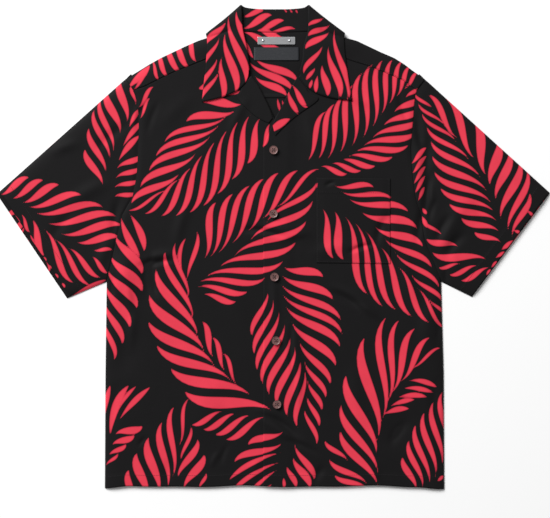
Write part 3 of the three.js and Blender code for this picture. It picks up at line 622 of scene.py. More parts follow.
def frontGrid(side):
    look = frontPiece
    sign = signs[side]
    seamFoot = frontSeam["y"][0]
    levels = np.linspace(0, look["top"], look["rows"])[:, None]
    inner = columnAt(frontEdge, side, levels)
    outerY = np.where(levels > seamFoot + look["allowance"], levels - look["allowance"],
                      np.minimum(levels, seamFoot))
    x = mix(inner, outerEdge(side, outerY), np.linspace(0, 1, look["columns"])[None, :])
    y = levels + np.zeros_like(x)
    onSide = sign * x
    z = frontMiddles[side](onSide, y)
    # Under the yoke the front's seam allowance lies lower.
    seamY = np.interp(x, frontSeam[side][::-1], frontSeam["y"][::-1])
    z = z - cloth["tuckDepth"] * smoothStep(y - seamY, -2.0, 0.5) * (y > seamFoot - look["allowance"])
    # The armhole seam pulls the cloth down beside it.
    beside = np.abs(x - outerEdge(side, y)) / look["seamWidth"]
    atArmhole = (y > underarmY + look["seamStart"]) & (y < seamFoot)
    z = z - look["seamDip"] * np.exp(-(beside**2)) * atArmhole + hemStep(y, look)
    grid = np.stack([onSide, y - hemDrop(onSide, y), z], 2)
    return grid if sign > 0 else grid[:, ::-1]


def makeFront(side):
    grid = frontGrid(side)
    leaf = leafDistance(grid[..., 0], grid[..., 1] - frontPiece["printSlip"][side], ["body"])
    makeCloth("front_panel_" + side, "front_" + side, grid, leaf, frontPiece["flat"], "laid", ["back"])


makeFront("right")
makeFront("left")

print("sleeves")
sleevePiece = {"levels": 128, "rings": 104, "tucks": (-0.045, -0.02), "tuckEnd": 0.01, "length": 150,
               "turn": 0.5, "topTurn": (0.6, 0.8), "hem": 22, "hemRise": 0.25, "seamDip": 0.8,
               "seamWidth": 4, "printTurn": {"right": (180, -640, 960), "left": (180, 684, 980)},
               "flat": (0.66, 0.27)}


# A flattened tube: each ring runs up the lower layer and down the upper one, from the tucked seam
# allowance at the armhole out to the cuff, where the lower layer reaches a little further.
def sleeveGrid(side):
    look = sleevePiece
    sign = signs[side]
    levels = np.linspace(underarmY, shoulder["y"][0], look["levels"])
    part = (levels - levels[0]) / (levels[-1] - levels[0])
    innerX = columnAt(armhole, side, levels)
    topX, topY = cuff[side]["top"]
    lowX, lowY = cuff[side]["low"]
    outX, outY = topY - lowY, lowX - topX
    size = math.hypot(outX, outY)
    rings = []
    for share in np.concatenate([look["tucks"], np.linspace(0, 1, look["rings"] - 2)]):
        layers = []
        for extra in (cuff[side]["backShows"] * max(share, 0), 0):
            cuffX = mix(lowX, topX, part) + outX / size * extra
            cuffY = mix(lowY, topY, part) + outY / size * extra
            layers.append((sign * mix(innerX, cuffX, share), mix(levels, cuffY, share)))
        tucked = cloth["tuckDepth"] * (1 - smoothStep(share, look["tucks"][1], look["tuckEnd"]))
        x, y = layers[0]
        lower = np.stack([x, y, backMiddle(x, y) + tucked], 1)
        x, y = layers[1]
        toCuff = (1 - share) * np.hypot(cuffX - innerX, cuffY - levels)
        dip = look["seamDip"] * np.exp(-((share * look["length"] / look["seamWidth"]) ** 2)) * (share >= 0)
        upper = np.stack([x, y, frontMiddle(x, y) - tucked - dip + hemStep(toCuff, look)], 1)
        topTurn = np.array([sign * look["topTurn"][0], look["topTurn"][1], 0]) * look["turn"]
        topFold = 0.5 * (lower[-1] + upper[-1]) + topTurn
        lowFold = 0.5 * (lower[0] + upper[0]) + np.array([0, -look["turn"], 0])
        rings.append(np.concatenate([lower, topFold[None], upper[::-1], lowFold[None]]))
    grid = np.stack(rings, 1)
    return grid if sign > 0 else grid[:, ::-1]


def makeSleeve(side):
    grid = sleeveGrid(side)
    x, y = grid[..., 0], grid[..., 1]
    names = ["sleeve" + side.title()]
    under = np.arange(grid.shape[0])[:, None] < sleevePiece["levels"]
    hidden = leafDistance(x, y, names, sleevePiece["printTurn"][side])
    leaf = np.where(under, hidden, leafDistance(x, y, names))
    makeCloth("sleeve_panel_" + side, "sleeve_" + side, grid, leaf, sleevePiece["flat"], "folded", [],
              ring=True)


makeSleeve("right")
makeSleeve("left")

print("yoke")
yokePiece = {"sideColumns": 74, "neckColumns": 92, "rises": 72, "falls": 14, "neckX": 74, "neckDip": 2,
             "below": 4, "lift": 0.7, "bendPower": 6, "over": 0.45, "overAt": 0.4, "seamGap": 0.6,
             "turn": 0.5, "topTurn": (0.45, 0.9), "printSlip": (1.6, 0.5), "flat": (0.48, 0.16),
             "area": 0.05177}


# A place along a seam, by its share of the rows of the seam's table.
def alongSeam(table, side, share):
    order = np.arange(len(table["y"]))
    index = share * (len(table["y"]) - 1)
    return np.interp(index, order, table[side]), np.interp(index, order, table["y"])


# The armhole end follows the armhole's curve, and the neck end runs straight.
def armholeBend(side, y, fromY, toY, part, share):
    straight = mix(columnAt(armhole, side, fromY), columnAt(armhole, side, toY), part)
    return (columnAt(armhole, side, y) - straight) * (1 - share) ** yokePiece["bendPower"]


# The yoke's foot lies over the back's top edge.
def yokeMiddle(x, y):
    return backMiddle(x, y) + yokePiece["lift"] * (1 - smoothStep(y, yokeSeamY - 1, yokeSeamY + 3))


# One column of the yoke: up the back, round the fold at the shoulder and down to the front seam.
def yokeColumn(side, share):
    look = yokePiece
    sign = signs[side]
    topX, topY = alongSeam(shoulder, side, share)
    seamX, seamY = alongSeam(frontSeam, side, share)
    footY = yokeSeamY - look["below"]
    footX = mix(columnAt(armhole, side, footY), look["neckX"], share)
    rise = np.linspace(0, 1, look["rises"])
    y = mix(footY, topY, rise)
    x = sign * (mix(footX, topX, rise) + armholeBend(side, y, footY, topY, rise, share))
    up = np.stack([x, y, yokeMiddle(x, y)], 1)
    fall = np.linspace(0, 1, look["falls"])
    y = mix(topY, seamY - look["seamGap"], fall)
    x = sign * (mix(topX, seamX, fall) + armholeBend(side, y, topY, seamY, fall, share))
    down = np.stack([x, y, frontMiddle(x, y) + look["over"] * smoothStep(fall, 0, look["overAt"])], 1)
    topTurn = np.array([sign * look["topTurn"][0], look["topTurn"][1], 0]) * look["turn"]
    fold = 0.5 * (up[-1] + down[0]) + topTurn
    return np.concatenate([up, fold[None], down])


def makeYoke():
    look = yokePiece
    shares = np.linspace(0, 1, look["sideColumns"])
    right = [yokeColumn("right", share) for share in shares]
    left = [yokeColumn("left", share) for share in shares[::-1]]
    # Between the neck points only the part up the back is kept.
    between = []
    rise = np.concatenate([np.linspace(0, 1, look["rises"]), np.ones(look["falls"] + 1)])
    for share in np.linspace(0, 1, look["neckColumns"] + 1)[1:-1]:
        line = mix(right[-1], left[0], share)
        line[:, 1] -= look["neckDip"] * math.sin(math.pi * share) * rise
        line[:, 2] = yokeMiddle(line[:, 0], line[:, 1])
        between.append(line)
    grid = np.stack(right + between + left, 1)
    keep = np.ones((grid.shape[0] - 1, grid.shape[1] - 1), bool)
    keep[look["rises"] - 1:, len(right) - 1:len(right) + len(between)] = False
    x, y = grid[..., 0], grid[..., 1]
    slipX, slipY = look["printSlip"]
    front = np.where(x < 0, leafDistance(x, y, ["yokeRight"]), leafDistance(x - slipX, y - slipY, ["body"]))
    pastFold = (np.arange(grid.shape[0]) >= look["rises"])[:, None]
    leaf = np.where(pastFold, front, leafDistance(x, y, ["inside"]))
    makeCloth("yoke_panel", "yoke", grid[::-1], leaf[::-1], look["flat"], "folded", ["back"],
              area=look["area"], keep=keep[::-1])


makeYoke()

print("pocket")
pocketPiece = {"from": 67, "to": 185, "low": 357, "high": 493, "columns": 84, "rows": 96, "above": 0.85,
               "puff": 0.5, "puffWidth": 14, "hem": 25, "hemRise": 0.2, "slope": 1.5,
               "printSlip": (0.8, -0.6), "flat": (0.119, 0.137)}


# The pocket slopes down a little towards the sleeve, and puffs up inside its seams.
def pocketLay(x, y):
    look = pocketPiece
    inset = np.minimum(np.minimum(x - look["from"], look["to"] - x), y - look["low"])
    sloped = y - look["slope"] * (x - look["from"]) / (look["to"] - look["from"])
    return sloped, look["above"] + look["puff"] * smoothStep(inset, 0, look["puffWidth"])


def makePocket():
    look = pocketPiece
    x, y = np.meshgrid(np.linspace(look["from"], look["to"], look["columns"]),
                       np.linspace(look["low"], look["high"], look["rows"]))
    y, above = pocketLay(x, y)
    grid = np.stack([x, y, leftFrontMiddle(x, y) + above + hemStep(look["high"] - y, look)], 2)
    slipX, slipY = look["printSlip"]
    leaf = leafDistance(x - slipX, y - slipY, ["body"])
    makeCloth("chest_pocket", "pocket", grid, leaf, look["flat"], "laid", ["front_left"])


makePocket()

print("collar")
collarPiece = {"steps": 200, "thick": 1.0, "rise": 2.4, "drop": 1.5, "roll": 1.0, "standSteps": 14,
               "rollSteps": 5, "fallSteps": 44, "thirdAt": 0.4, "edgeDrop": 0.4, "flat": (0.46, 0.11)}
# The collar from the middle of its back round to its end at the lapel: for each section the x and
# y of its neck seam, its roll, a place over a third down the fall and its free edge, then its lay,
# which is 0 where it is under the back and 1 where it lies on the front.
collarRows = {
    "right": [
        (0, 725.4, 0, 761, 0, 742, 0, 706, 0), (-30, 725.8, -27, 761.5, -31, 743, -40, 706, 0),
        (-62, 727.2, -46, 764, -59, 747, -86, 709, 0), (-69, 728.4, -51, 766, -67, 749, -101, 714, 0),
        (-73, 730, -53, 767, -71, 751, -107, 721, 0.5), (-71, 721, -53, 752, -71, 738, -107.5, 712, 1),
        (-69, 707, -52, 731, -71, 719, -108, 697, 1), (-62, 690, -45.5, 701, -65, 694, -110, 671, 1),
        (-54, 675, -42.5, 681, -60, 672, -113, 643, 1), (-45.5, 661.5, -41.5, 664, -52, 638, -116, 614, 1),
    ],
    "left": [
        (0, 725.4, 0, 761, 0, 742, 0, 706, 0), (30, 725.8, 28, 761.5, 31, 743, 41, 706, 0),
        (64, 727.2, 48, 764, 60, 747, 88, 709, 0), (71, 728.6, 52, 766, 69, 749, 104, 714, 0),
        (75, 730, 54, 767, 73, 751, 110, 722, 0.5), (73, 721, 55, 752, 73, 738, 111, 713, 1),
        (71, 707, 55, 731, 74, 719, 112, 697, 1), (63.5, 690, 47.5, 700, 67, 693, 115, 672, 1),
        (55, 675, 46, 682, 63, 673, 119, 645, 1), (44.5, 661.5, 41.5, 664, 54, 636, 124, 616, 1),
    ],
}


# One section of the collar, from the neck seam up to the roll and down the fall.
def collarSection(sign, row):
    look = collarPiece
    seam, roll, third, edge, lay = row[0:2], row[2:4], row[4:6], row[6:8], float(np.clip(row[8], 0, 1))
    turn = math.pi * float(smoothStep(lay, 0, 1))
    along = (edge - roll) / np.hypot(*(edge - roll))
    over = np.array([sign * abs(along[1]) * math.sin(turn), abs(along[0]) * math.sin(turn), -math.cos(turn)])
    apart = mix(look["drop"], look["rise"], lay)

    def place(flat, height):
        x, y = flat[:, 0], flat[:, 1]
        points = np.stack([x, y, mix(backMiddle(x, y), frontMiddle(x, y), lay)], 1)
        return points + over * np.reshape(height, (-1, 1))

    up = np.linspace(0, 1, look["standSteps"])
    stand = place(mix(seam, roll, up[:, None]), 0 * up)
    # The fall is a curve through the third place.
    at = look["thirdAt"]
    control = (third - roll * (1 - at) ** 2 - edge * at**2) / (2 * at * (1 - at))
    t = np.linspace(0, 1, look["fallSteps"] + 1)[1:, None]
    flat = roll * (1 - t) ** 2 + 2 * control * t * (1 - t) + edge * t**2
    fall = place(flat, apart - look["edgeDrop"] * smoothStep(t[:, 0], 0.9, 1.0))
    middle = place(roll[None], [apart / 2])[0]
    out = np.array([-along[0], -along[1], 0]) * look["roll"]
    angles = np.linspace(0, math.pi, look["rollSteps"] + 2)[1:-1]
    rolled = np.stack([middle + out * math.sin(a) - over * math.cos(a) * apart / 2 for a in angles])
    start = middle + over * apart / 2
    return np.concatenate([stand, rolled, start[None], fall])


def collarGrid():
    halves = []
    for side, sign in signs.items():
        rows = np.array(collarRows[side], float)
        rollSteps = np.hypot(np.diff(rows[:, 2]), np.diff(rows[:, 3]))
        edgeSteps = np.hypot(np.diff(rows[:, 6]), np.diff(rows[:, 7]))
        keys = np.concatenate([[0], np.cumsum(rollSteps**0.5)])
        along = np.concatenate([[0], np.cumsum(rollSteps + edgeSteps)])
        wanted = np.interp(np.linspace(0, along[-1], collarPiece["steps"] // 2 + 1), along, keys)
        halves.append([collarSection(sign, row) for row in curveThrough(keys, rows, wanted)])
    return np.stack(halves[0][::-1] + halves[1][1:], 1)


def makeCollar():
    look = collarPiece
    grid = collarGrid()
    x, y = grid[..., 0], grid[..., 1]
    fallen = np.where(x < 0, leafDistance(x, y, ["collarRight"]), leafDistance(x, y, ["collarLeft"]))
    inside = (np.arange(grid.shape[0]) < look["standSteps"] + look["rollSteps"] // 2 + 1)[:, None]
    leaf = np.where(inside, leafDistance(x, y, ["inside"]), fallen)
    makeCloth("camp_collar", "collar", grid, leaf, look["flat"], "folded", ["front_right", "front_left"],
              thick=look["thick"])


makeCollar()

print("lapels")
lapelPiece = {"rows": 46, "columns": 34, "rise": 1.5, "edgeDrop": 0.3, "curl": 0.7, "curlSteps": 6,
              "length": 0.085, "leastWidth": 0.05, "fill": 0.6}
# From the lapel's lower end up: the x and y of its fold, and the x and y of its free edge.
lapelRows = {
    "right": [(-4, 587, -9, 580), (-6.5, 597, -27, 589), (-13, 612, -45, 604), (-19.5, 625, -60, 621),
              (-27.5, 640, -56, 630), (-38, 655, -52, 637)],
    "left": [(-3, 577, 1, 560), (6, 595, 19, 578), (13.5, 608, 38, 594), (21, 624, 70, 618),
             (29, 640, 56, 628), (37.5, 654, 50.5, 635.5)],
}


def makeLapel(side):
    look = lapelPiece
    sign = signs[side]
    guides = lapelRows[side]
    rows = curveThrough(range(len(guides)), guides, np.linspace(0, len(guides) - 1, look["rows"]))
    share = np.linspace(0, 1, look["columns"])[None, :]
    x = mix(rows[:, 0:1], rows[:, 2:3], share)
    y = mix(rows[:, 1:2], rows[:, 3:4], share)
    z = frontMiddles[side](x, y) + look["rise"] - look["edgeDrop"] * smoothStep(share, 0.85, 1)
    flat = np.stack([x, y, z], 2)
    # The cloth curls up from the front at the fold.
    curl = []
    for angle in np.linspace(math.pi, 0, look["curlSteps"] + 1)[:-1]:
        point = flat[:, 0].copy()
        point[:, 0] -= sign * look["curl"] * math.sin(angle)
        point[:, 2] -= look["curl"] * (1 - math.cos(angle))
        curl.append(point)
    grid = np.concatenate([np.stack(curl, 1), flat], 1)
    if sign < 0:
        grid = grid[:, ::-1]
    leaf = leafDistance(grid[..., 0], grid[..., 1], ["lapelLeft"] if side == "left" else [])
    # A lapel fills a little over half of the rectangle that it is cut from.
    width = max(look["leastWidth"], gridArea(grid) / look["length"] / look["fill"])
    makeCloth("lapel_panel_" + side, "lapel_" + side, grid, leaf, (width, look["length"]), "folded",
              ["front_" + side])


makeLapel("right")
makeLapel("left")

print("buttons")
# Four-hole shirt buttons turned from brown shell, sewn on with crossed thread.
button = {"diameter": 13.8, "thick": 2.6, "foot": 11.3, "rim": 1.7, "dish": 0.8, "bevel": 0.45,
          "hole": 1.9, "holePlace": 1.75, "drill": 10, "sides": 48, "holeSides": 16,
          "threadRises": {1: 0.35, -1: 0.75}, "threadEnd": 0.6}
# Turned and tumbled shell: a soft gloss over brown clouded with a paler brown.
shell = {"color": "#5f4140", "pale": "#84625e", "roughness": 0.42, "specular": 0.35, "coat": 0.08,
         "cloud": 3.846, "clouding": (0.36, 0.66), "grain": 0.3846, "bump": 0.15, "depth": 0.2}


def makeShellBrown():
    look = shell
    material, tree, shader = newMaterial("turned_brown_shell", look["color"], look["roughness"],
                                         specular=look["specular"])
    shader.inputs["Coat Weight"].default_value = look["coat"]
    place = addNode(tree, "ShaderNodeTexCoord").outputs["Object"]
    clouds = addNode(tree, "ShaderNodeTexNoise",
                     {"Vector": place, "Scale": 1000 / look["cloud"], "Detail": 4.0, "Distortion": 1.2})
    low, high = look["clouding"]
    bands = addNode(tree, "ShaderNodeMapRange",
                    {"Value": clouds.outputs["Fac"], "From Min": low, "From Max": high}).outputs["Result"]
    color = addNode(tree, "ShaderNodeMix", {0: bands, 6: srgb(look["color"]), 7: srgb(look["pale"])},
                    data_type="RGBA")
    tree.links.new(color.outputs[2], shader.inputs["Base Color"])
    fine = addNode(tree, "ShaderNodeTexNoise",
                   {"Vector": place, "Scale": 1000 / look["grain"], "Detail": 2.0})
    bump = addNode(tree, "ShaderNodeBump", {"Height": fine.outputs["Fac"], "Strength": look["bump"],
                                            "Distance": look["depth"] / 1000})
    tree.links.new(bump.outputs["Normal"], shader.inputs["Normal"])
    return material


def addCylinder(radius, depth, middle, sides):
    bpy.ops.object.select_all(action="DESELECT")
    bpy.ops.mesh.primitive_cylinder_add(vertices=sides, radius=radius, depth=depth, location=middle)
    return bpy.context.active_object


def applyModifier(piece, kind, **settings):
    bpy.context.view_layer.objects.active = piece
    modifier = piece.modifiers.new(kind.lower(), kind)
    for key, value in settings.items():
        setattr(modifier, key, value)
    bpy.ops.object.modifier_apply(modifier=modifier.name)


def placeInMesh(piece, name):
    bpy.ops.object.select_all(action="DESELECT")
    piece.select_set(True)
    bpy.context.view_layer.objects.active = piece
    bpy.ops.object.transform_apply(location=True, rotation=True, scale=True)
    piece.name = name
    piece.data.name = name


def makeButton(number, material):
    look = button
    low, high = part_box(f"button_{number}")
    middle = ((low.x + high.x) / 2, (low.y + high.y) / 2, (low.z + high.z) / 2)
    piece = addCylinder(look["diameter"] / 2000, look["thick"] / 1000, middle, look["sides"])
    bpy.ops.object.mode_set(mode="EDIT")
    mesh = bmesh.from_edit_mesh(piece.data)
    mesh.faces.ensure_lookup_table()
    top = max(mesh.faces, key=lambda face: face.calc_center_median().z)
    foot = min(mesh.faces, key=lambda face: face.calc_center_median().z)
    bmesh.ops.scale(mesh, verts=foot.verts, vec=(look["foot"] / look["diameter"],) * 2 + (1,))
    bmesh.ops.inset_individual(mesh, faces=[top], thickness=look["rim"] / 1000)
    bmesh.ops.translate(mesh, verts=top.verts, vec=(0, 0, -look["dish"] / 1000))
    bmesh.update_edit_mesh(piece.data)
    bpy.ops.object.mode_set(mode="OBJECT")
    applyModifier(piece, "BEVEL", width=look["bevel"] / 1000, segments=3, limit_method="ANGLE",
                  angle_limit=math.radians(20))
    away = look["holePlace"] / 1000
    for stepX, stepY in ((1, 1), (1, -1), (-1, 1), (-1, -1)):
        holeMiddle = (middle[0] + stepX * away, middle[1] + stepY * away, middle[2])
        drill = addCylinder(look["hole"] / 2000, look["drill"] / 1000, holeMiddle, look["holeSides"])
        applyModifier(piece, "BOOLEAN", operation="DIFFERENCE", object=drill, solver="EXACT")
        bpy.data.objects.remove(drill)
    # The level faces stay flat and all others are smooth.
    smooth = [abs(face.normal.z) < 0.999 for face in piece.data.polygons]
    piece.data.polygons.foreach_set("use_smooth", smooth)
    piece.data.materials.clear()
    piece.data.materials.append(material)
    placeInMesh(piece, f"shirt_button_{number}")
    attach(piece, "root")
    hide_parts(f"button_{number}")
    return [crossThread(middle, high.z, away, way) for way in (1, -1)]


# A thread from hole to hole across the dish. The second passes over the first.
def crossThread(middle, topZ, away, way):
    floorZ = topZ - button["dish"] / 1000
    start, end = [np.array([middle[0] + step * away, middle[1] + step * way * away, floorZ]) * 1000
                  for step in (-1, 1)]
    up = np.array([0, 0, button["threadRises"][way]])
    sunk = np.array([0, 0, button["threadEnd"]])
    return [start - sunk, start + up * 0.6, (start + end) / 2 + up, end + up * 0.6, end - sunk]


buttonThreads = []
shellBrown = makeShellBrown()
for number in range(1, 6):
    buttonThreads += makeButton(number, shellBrown)

print("label and plate")
label = {"x": 3, "y": 691, "width": 72, "height": 21, "thick": 0.6, "above": 1.35, "foldWidth": 1.8,
         "foldDrop": 0.35, "wave": 0.12, "columns": 73, "rows": 22}
# Damask-woven polyester tape: fine cross ribs with a faint satin gleam.
tape = {"ground": "#26282c", "roughness": 0.5, "specular": 0.35, "picks": 1.1, "warp": 0.6667,
        "span": (0.3, 1.6), "tones": (0.7, 1.35), "bump": 0.5, "depth": 0.2}
waveRepeat = 314  # a wave texture of scale 1 repeats every 314 mm


def makeLabelCloth():
    look = tape
    material, tree, shader = newMaterial("damask_woven_tape", look["ground"], look["roughness"],
                                         specular=look["specular"])
    place = addNode(tree, "ShaderNodeTexCoord").outputs["Object"]
    ribs = addNode(tree, "ShaderNodeTexWave", {"Vector": place, "Scale": waveRepeat / look["picks"],
                                               "Distortion": 0.6, "Detail": 1.0}, bands_direction="Y")
    warp = addNode(tree, "ShaderNodeTexNoise",
                   {"Vector": place, "Scale": 1000 / look["warp"], "Detail": 2.0})
    both = addNode(tree, "ShaderNodeMath", {0: ribs.outputs["Fac"], 1: warp.outputs["Fac"]}, operation="ADD")
    shadeAndRaise(tree, shader, srgb(look["ground"]), both.outputs["Value"], look["tones"],
                  both.outputs["Value"], look["bump"], look["depth"], span=look["span"])
    return material


def makeLabel():
    look = label
    x, y = np.meshgrid(np.linspace(-0.5, 0.5, look["columns"]) * look["width"] + look["x"],
                       np.linspace(-0.5, 0.5, look["rows"]) * look["height"] + look["y"])
    toEnd = look["width"] / 2 - np.abs(x - look["x"])
    z = backMiddle(x, y) + look["above"] - look["foldDrop"] * (1 - smoothStep(toEnd, 0, look["foldWidth"]))
    z = z + look["wave"] * np.sin(x / 9 + y / 14)
    grid = np.stack([x, y, z], 2)
    noLeaf = np.full(x.shape, leaflet["far"])
    piece = makeShell("woven_neck_label", grid, noLeaf, look["thick"], makeLabelCloth())
    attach(piece, "root")
    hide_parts("neck_label")


makeLabel()

plate = {"corner": 1.2, "bevel": 0.25}
# Rolled stainless strip, brushed along its length, and domed steel rivets: a soft metal gleam that
# is drawn out into fine streaks on the strip.
steel = {"color": "#c9cacc", "roughness": 0.36, "grain": 0.25, "stretch": 0.03, "tones": (0.82, 1.12),
         "roughnesses": (0.28, 0.46), "bump": 0.25, "depth": 0.1}


def makeSteel(name, brushed):
    look = steel
    material, tree, shader = newMaterial(name, look["color"], look["roughness"], metallic=1.0)
    place = addNode(tree, "ShaderNodeTexCoord").outputs["Object"]
    stretch = (look["stretch"] if brushed else 1.0, 1.0, 1.0)
    way = addNode(tree, "ShaderNodeMapping", {"Vector": place, "Scale": stretch})
    grain = addNode(tree, "ShaderNodeTexNoise",
                    {"Vector": way.outputs["Vector"], "Scale": 1000 / look["grain"], "Detail": 3.0})
    low, high = look["roughnesses"]
    rough = addNode(tree, "ShaderNodeMapRange",
                    {"Value": grain.outputs["Fac"], "To Min": low, "To Max": high})
    tree.links.new(rough.outputs["Result"], shader.inputs["Roughness"])
    shadeAndRaise(tree, shader, srgb(look["color"]), grain.outputs["Fac"], look["tones"],
                  grain.outputs["Fac"], look["bump"], look["depth"])
    return material


def makePlate():
    low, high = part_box("neck_plate")
    middle = [(low[i] + high[i]) / 2 for i in range(3)]
    bpy.ops.object.select_all(action="DESELECT")
    bpy.ops.mesh.primitive_cube_add(size=1, location=middle)
    piece = bpy.context.active_object
    piece.scale = [high[i] - low[i] for i in range(3)]
    placeInMesh(piece, "riveted_neck_plate")
    bpy.ops.object.mode_set(mode="EDIT")
    bpy.ops.mesh.select_all(action="DESELECT")
    mesh = bmesh.from_edit_mesh(piece.data)
    upright = [edge for edge in mesh.edges if abs(edge.verts[0].co.z - edge.verts[1].co.z) > 1e-4]
    bmesh.ops.bevel(mesh, geom=upright, offset=plate["corner"] / 1000, segments=5, profile=0.5,
                    affect="EDGES")
    bmesh.update_edit_mesh(piece.data)
    bpy.ops.object.mode_set(mode="OBJECT")
    applyModifier(piece, "BEVEL", width=plate["bevel"] / 1000, segments=2, limit_method="ANGLE",
                  angle_limit=math.radians(60))
    piece.data.materials.append(makeSteel("brushed_stainless", True))
    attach(piece, "root")
    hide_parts("neck_plate")


makePlate()
rivet = {"sides": 32, "rings": 6}


def makeRivet(side, material):
    node = f"plate_rivet_{side}"
    low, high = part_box(node)
    middle = [(low[i] + high[i]) / 2 for i in range(3)]
    bpy.ops.object.select_all(action="DESELECT")
    bpy.ops.mesh.primitive_uv_sphere_add(segments=rivet["sides"], ring_count=rivet["rings"] * 2, radius=1,
                                         location=(middle[0], middle[1], low.z))
    piece = bpy.context.active_object
    piece.scale = ((high.x - low.x) / 2, (high.y - low.y) / 2, high.z - low.z)
    bpy.ops.object.mode_set(mode="EDIT")
    bpy.ops.mesh.select_all(action="SELECT")
    bpy.ops.mesh.bisect(plane_co=(middle[0], middle[1], low.z), plane_no=(0, 0, 1), use_fill=True,
                        clear_inner=True)
    bpy.ops.object.mode_set(mode="OBJECT")
    placeInMesh(piece, f"domed_rivet_{side}")
    bpy.ops.object.shade_smooth()
    piece.data.materials.append(material)
    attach(piece, "root")
    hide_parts(node)


rivetSteel = makeSteel("tumbled_steel", False)
makeRivet("right", rivetSteel)
makeRivet("left", rivetSteel)

print("stitching")
# Spun polyester thread, matt and twisted, drawn as short rounded stitches with gaps between them.
thread = {"radius": 0.2, "buttonRadius": 0.32, "pitch": 2.9, "share": 0.68, "sides": 6, "above": 0.06,
          "color": "#1f1d1f", "buttonColor": "#4d3a3a", "roughness": 0.6, "specular": 0.3, "twist": 0.628,
          "tones": (0.7, 1.3), "bump": 0.4, "depth": 0.1}


def makeThread(name, hexCode):
    look = thread
    material, tree, shader = newMaterial(name, hexCode, look["roughness"], specular=look["specular"])
    place = addNode(tree, "ShaderNodeTexCoord").outputs["Object"]
    twist = addNode(tree, "ShaderNodeTexWave", {"Vector": place, "Scale": waveRepeat / look["twist"],
                                                "Distortion": 2.0}, bands_direction="DIAGONAL")
    shadeAndRaise(tree, shader, srgb(hexCode), twist.outputs["Fac"], look["tones"],
                  twist.outputs["Fac"], look["bump"], look["depth"])
    return material


# A rounded strand through a row of places, closed at both ends.
def strand(line, radius):
    line = np.array(line, float)
    ways = np.gradient(line, axis=0)
    ways /= np.linalg.norm(ways, axis=1, keepdims=True)
    ends = (line[0] - ways[0] * radius * 0.6, line[-1] + ways[-1] * radius * 0.6)
    sides, count = thread["sides"], len(line)
    rings = []
    for place, way in zip(line, ways):
        # No stitch runs along this slanting direction.
        aside = np.cross(way, [0.13, 0.21, 0.97])
        aside /= np.linalg.norm(aside)
        other = np.cross(way, aside)
        for i in range(sides):
            angle = 2 * math.pi * i / sides
            rings.append(place + (aside * math.cos(angle) + other * math.sin(angle)) * radius)
    faces = []
    for i in range(sides):
        j = (i + 1) % sides
        for k in range(count - 1):
            faces.append([k * sides + i, k * sides + j, (k + 1) * sides + j, (k + 1) * sides + i])
        faces.append([j, i, count * sides])
        faces.append([(count - 1) * sides + i, (count - 1) * sides + j, count * sides + 1])
    return rings + list(ends), faces


def makeStrands(name, lines, radius, material):
    points, faces = [], []
    for line in lines:
        added, cells = strand(line, radius)
        faces += [[corner + len(points) for corner in cell] for cell in cells]
        points += added
    mesh = bpy.data.meshes.new(name)
    mesh.from_pydata((np.array(points) * 0.001).tolist(), [], faces)
    mesh.polygons.foreach_set("use_smooth", np.ones(len(faces), bool))
    mesh.materials.append(material)
    piece = bpy.data.objects.new(name, mesh)
    bpy.context.scene.collection.objects.link(piece)
    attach(piece, "root")


# Cuts a sewing line into stitches. The line is in shirt millimetres, on top of the cloth.
def stitchesAlong(line):
    line = np.array(line, float)
    steps = np.linalg.norm(np.diff(line, axis=0), axis=1)
    along = np.concatenate([[0], np.cumsum(steps)])
    stitches = []
    for k in range(int(along[-1] / thread["pitch"])):
        start = k * thread["pitch"]
        marks = np.linspace(start, start + thread["pitch"] * thread["share"], 3)
        stitch = np.stack([np.interp(marks, along, line[:, i]) for i in range(3)], 1)
        stitches.append(stitch + origin * 1000)
    return stitches


# Where the lines of stitches start and end, and how far they run from the edge beside them.
sewing = {"points": 200, "fromClosing": {"right": 20, "left": -15}, "toSide": {"right": 268, "left": 266},
          "hemInset": 2, "cuffEnds": (3, 4), "yokeShares": (0.02, 0.9), "yokeInset": 1.6, "pocketInset": 2}


def onFront(side, x, y, above=0.0):
    z = frontMiddles[side](x, y) + cloth["thick"] / 2 + above + thread["above"]
    return np.stack([x, y, z], 1)


# The hem, the cuff and the yoke's front edge of one side.
def sideSewing(side):
    sign = signs[side]
    x = sign * np.linspace(sewing["fromClosing"][side], sewing["toSide"][side], sewing["points"])
    y = np.full(x.shape, float(frontPiece["hem"] - sewing["hemInset"]))
    hemLine = onFront(side, x, y - hemDrop(x, y), frontPiece["hemRise"])
    lowEnd, highEnd = sewing["cuffEnds"]
    shoulderY = shoulder["y"][0]
    levels = np.linspace(underarmY + lowEnd, shoulderY - highEnd, 160)
    part = (levels - underarmY) / (shoulderY - underarmY)
    cuffX = mix(cuff[side]["low"][0], cuff[side]["top"][0], part)
    cuffY = mix(cuff[side]["low"][1], cuff[side]["top"][1], part)
    inX = columnAt(armhole, side, levels)
    back = (sleevePiece["hem"] - sewing["hemInset"]) / np.hypot(cuffX - inX, cuffY - levels)
    x, y = sign * mix(cuffX, inX, back), mix(cuffY, levels, back)
    cuffLine = onFront("right", x, y, sleevePiece["hemRise"])
    seamX, seamY = alongSeam(frontSeam, side, np.linspace(*sewing["yokeShares"], 120))
    yokeLine = onFront("right", sign * seamX, seamY + sewing["yokeInset"], yokePiece["over"])
    return [hemLine, cuffLine, yokeLine]


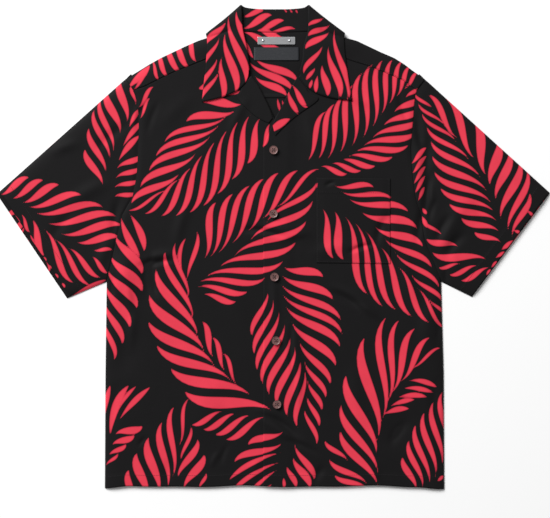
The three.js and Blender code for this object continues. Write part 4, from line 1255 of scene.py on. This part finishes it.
# Down one side of the pocket, across its foot and up the other side, then along its hem.
def pocketSewing():
    look = pocketPiece
    inset = sewing["pocketInset"]
    left, right, low, high = look["from"] + inset, look["to"] - inset, look["low"] + inset, look["high"] - 1
    aroundX = np.concatenate([np.full(60, left), np.linspace(left, right, 60), np.full(60, right)])
    aroundY = np.concatenate([np.linspace(high, low, 60), np.full(60, low), np.linspace(low, high, 60)])
    hemX = np.linspace(left + 1, right - 1, 80)
    hemY = np.full(hemX.shape, look["high"] - look["hem"] + inset)
    lines = []
    for x, y in ((aroundX, aroundY), (hemX, hemY)):
        y, above = pocketLay(x, y)
        lines.append(onFront("left", x, y, above + look["hemRise"] * (y > look["high"] - look["hem"])))
    return lines


stitches = []
for line in sideSewing("right") + sideSewing("left") + pocketSewing():
    stitches += stitchesAlong(line)
blackThread = makeThread("spun_black_thread", thread["color"])
brownThread = makeThread("spun_brown_thread", thread["buttonColor"])
makeStrands("topstitching", stitches, thread["radius"], blackThread)
makeStrands("button_thread", buttonThreads, thread["buttonRadius"], brownThread)

print("camera, floor and light")
view = {"width": 0.88, "middle": (0.8, 363.2), "lens": 100, "sensor": 36}


def makeCamera():
    camera = bpy.data.cameras.new("camera")
    camera.lens = view["lens"]
    camera.sensor_width = view["sensor"]
    holder = bpy.data.objects.new("camera", camera)
    bpy.context.scene.collection.objects.link(holder)
    height = view["width"] * view["lens"] / view["sensor"]
    holder.location = (origin[0] + view["middle"][0] / 1000, origin[1] + view["middle"][1] / 1000, height)
    bpy.context.scene.camera = holder


makeCamera()

studio = {"world": 0.26, "key": 830.0, "keySize": 4.2, "keyPlace": (-4.0, 4.6, 5.0), "floor": "#ffffff",
          "floorSize": 6, "floorZ": -0.0004}


# One large soft light from above the wearer's right shoulder, over a pale floor.
def makeStudio():
    bpy.ops.mesh.primitive_plane_add(size=studio["floorSize"], location=(0, 0, studio["floorZ"]))
    floor = bpy.context.active_object
    floor.name = "floor"
    floor.data.materials.append(newMaterial("pale_floor", studio["floor"], 0.9, specular=0.0)[0])
    world = bpy.data.worlds.new("soft_studio")
    world.use_nodes = True
    background = world.node_tree.nodes["Background"]
    background.inputs["Color"].default_value = (1, 1, 1, 1)
    background.inputs["Strength"].default_value = studio["world"]
    bpy.context.scene.world = world
    light = bpy.data.lights.new("key", "AREA")
    light.energy = studio["key"]
    light.size = studio["keySize"]
    holder = bpy.data.objects.new("key", light)
    bpy.context.scene.collection.objects.link(holder)
    holder.location = studio["keyPlace"]
    way = -np.array(studio["keyPlace"])
    holder.rotation_euler = (math.acos(-way[2] / np.linalg.norm(way)), 0, math.atan2(-way[0], way[1]))
    bpy.context.scene.view_settings.view_transform = "Standard"


makeStudio()
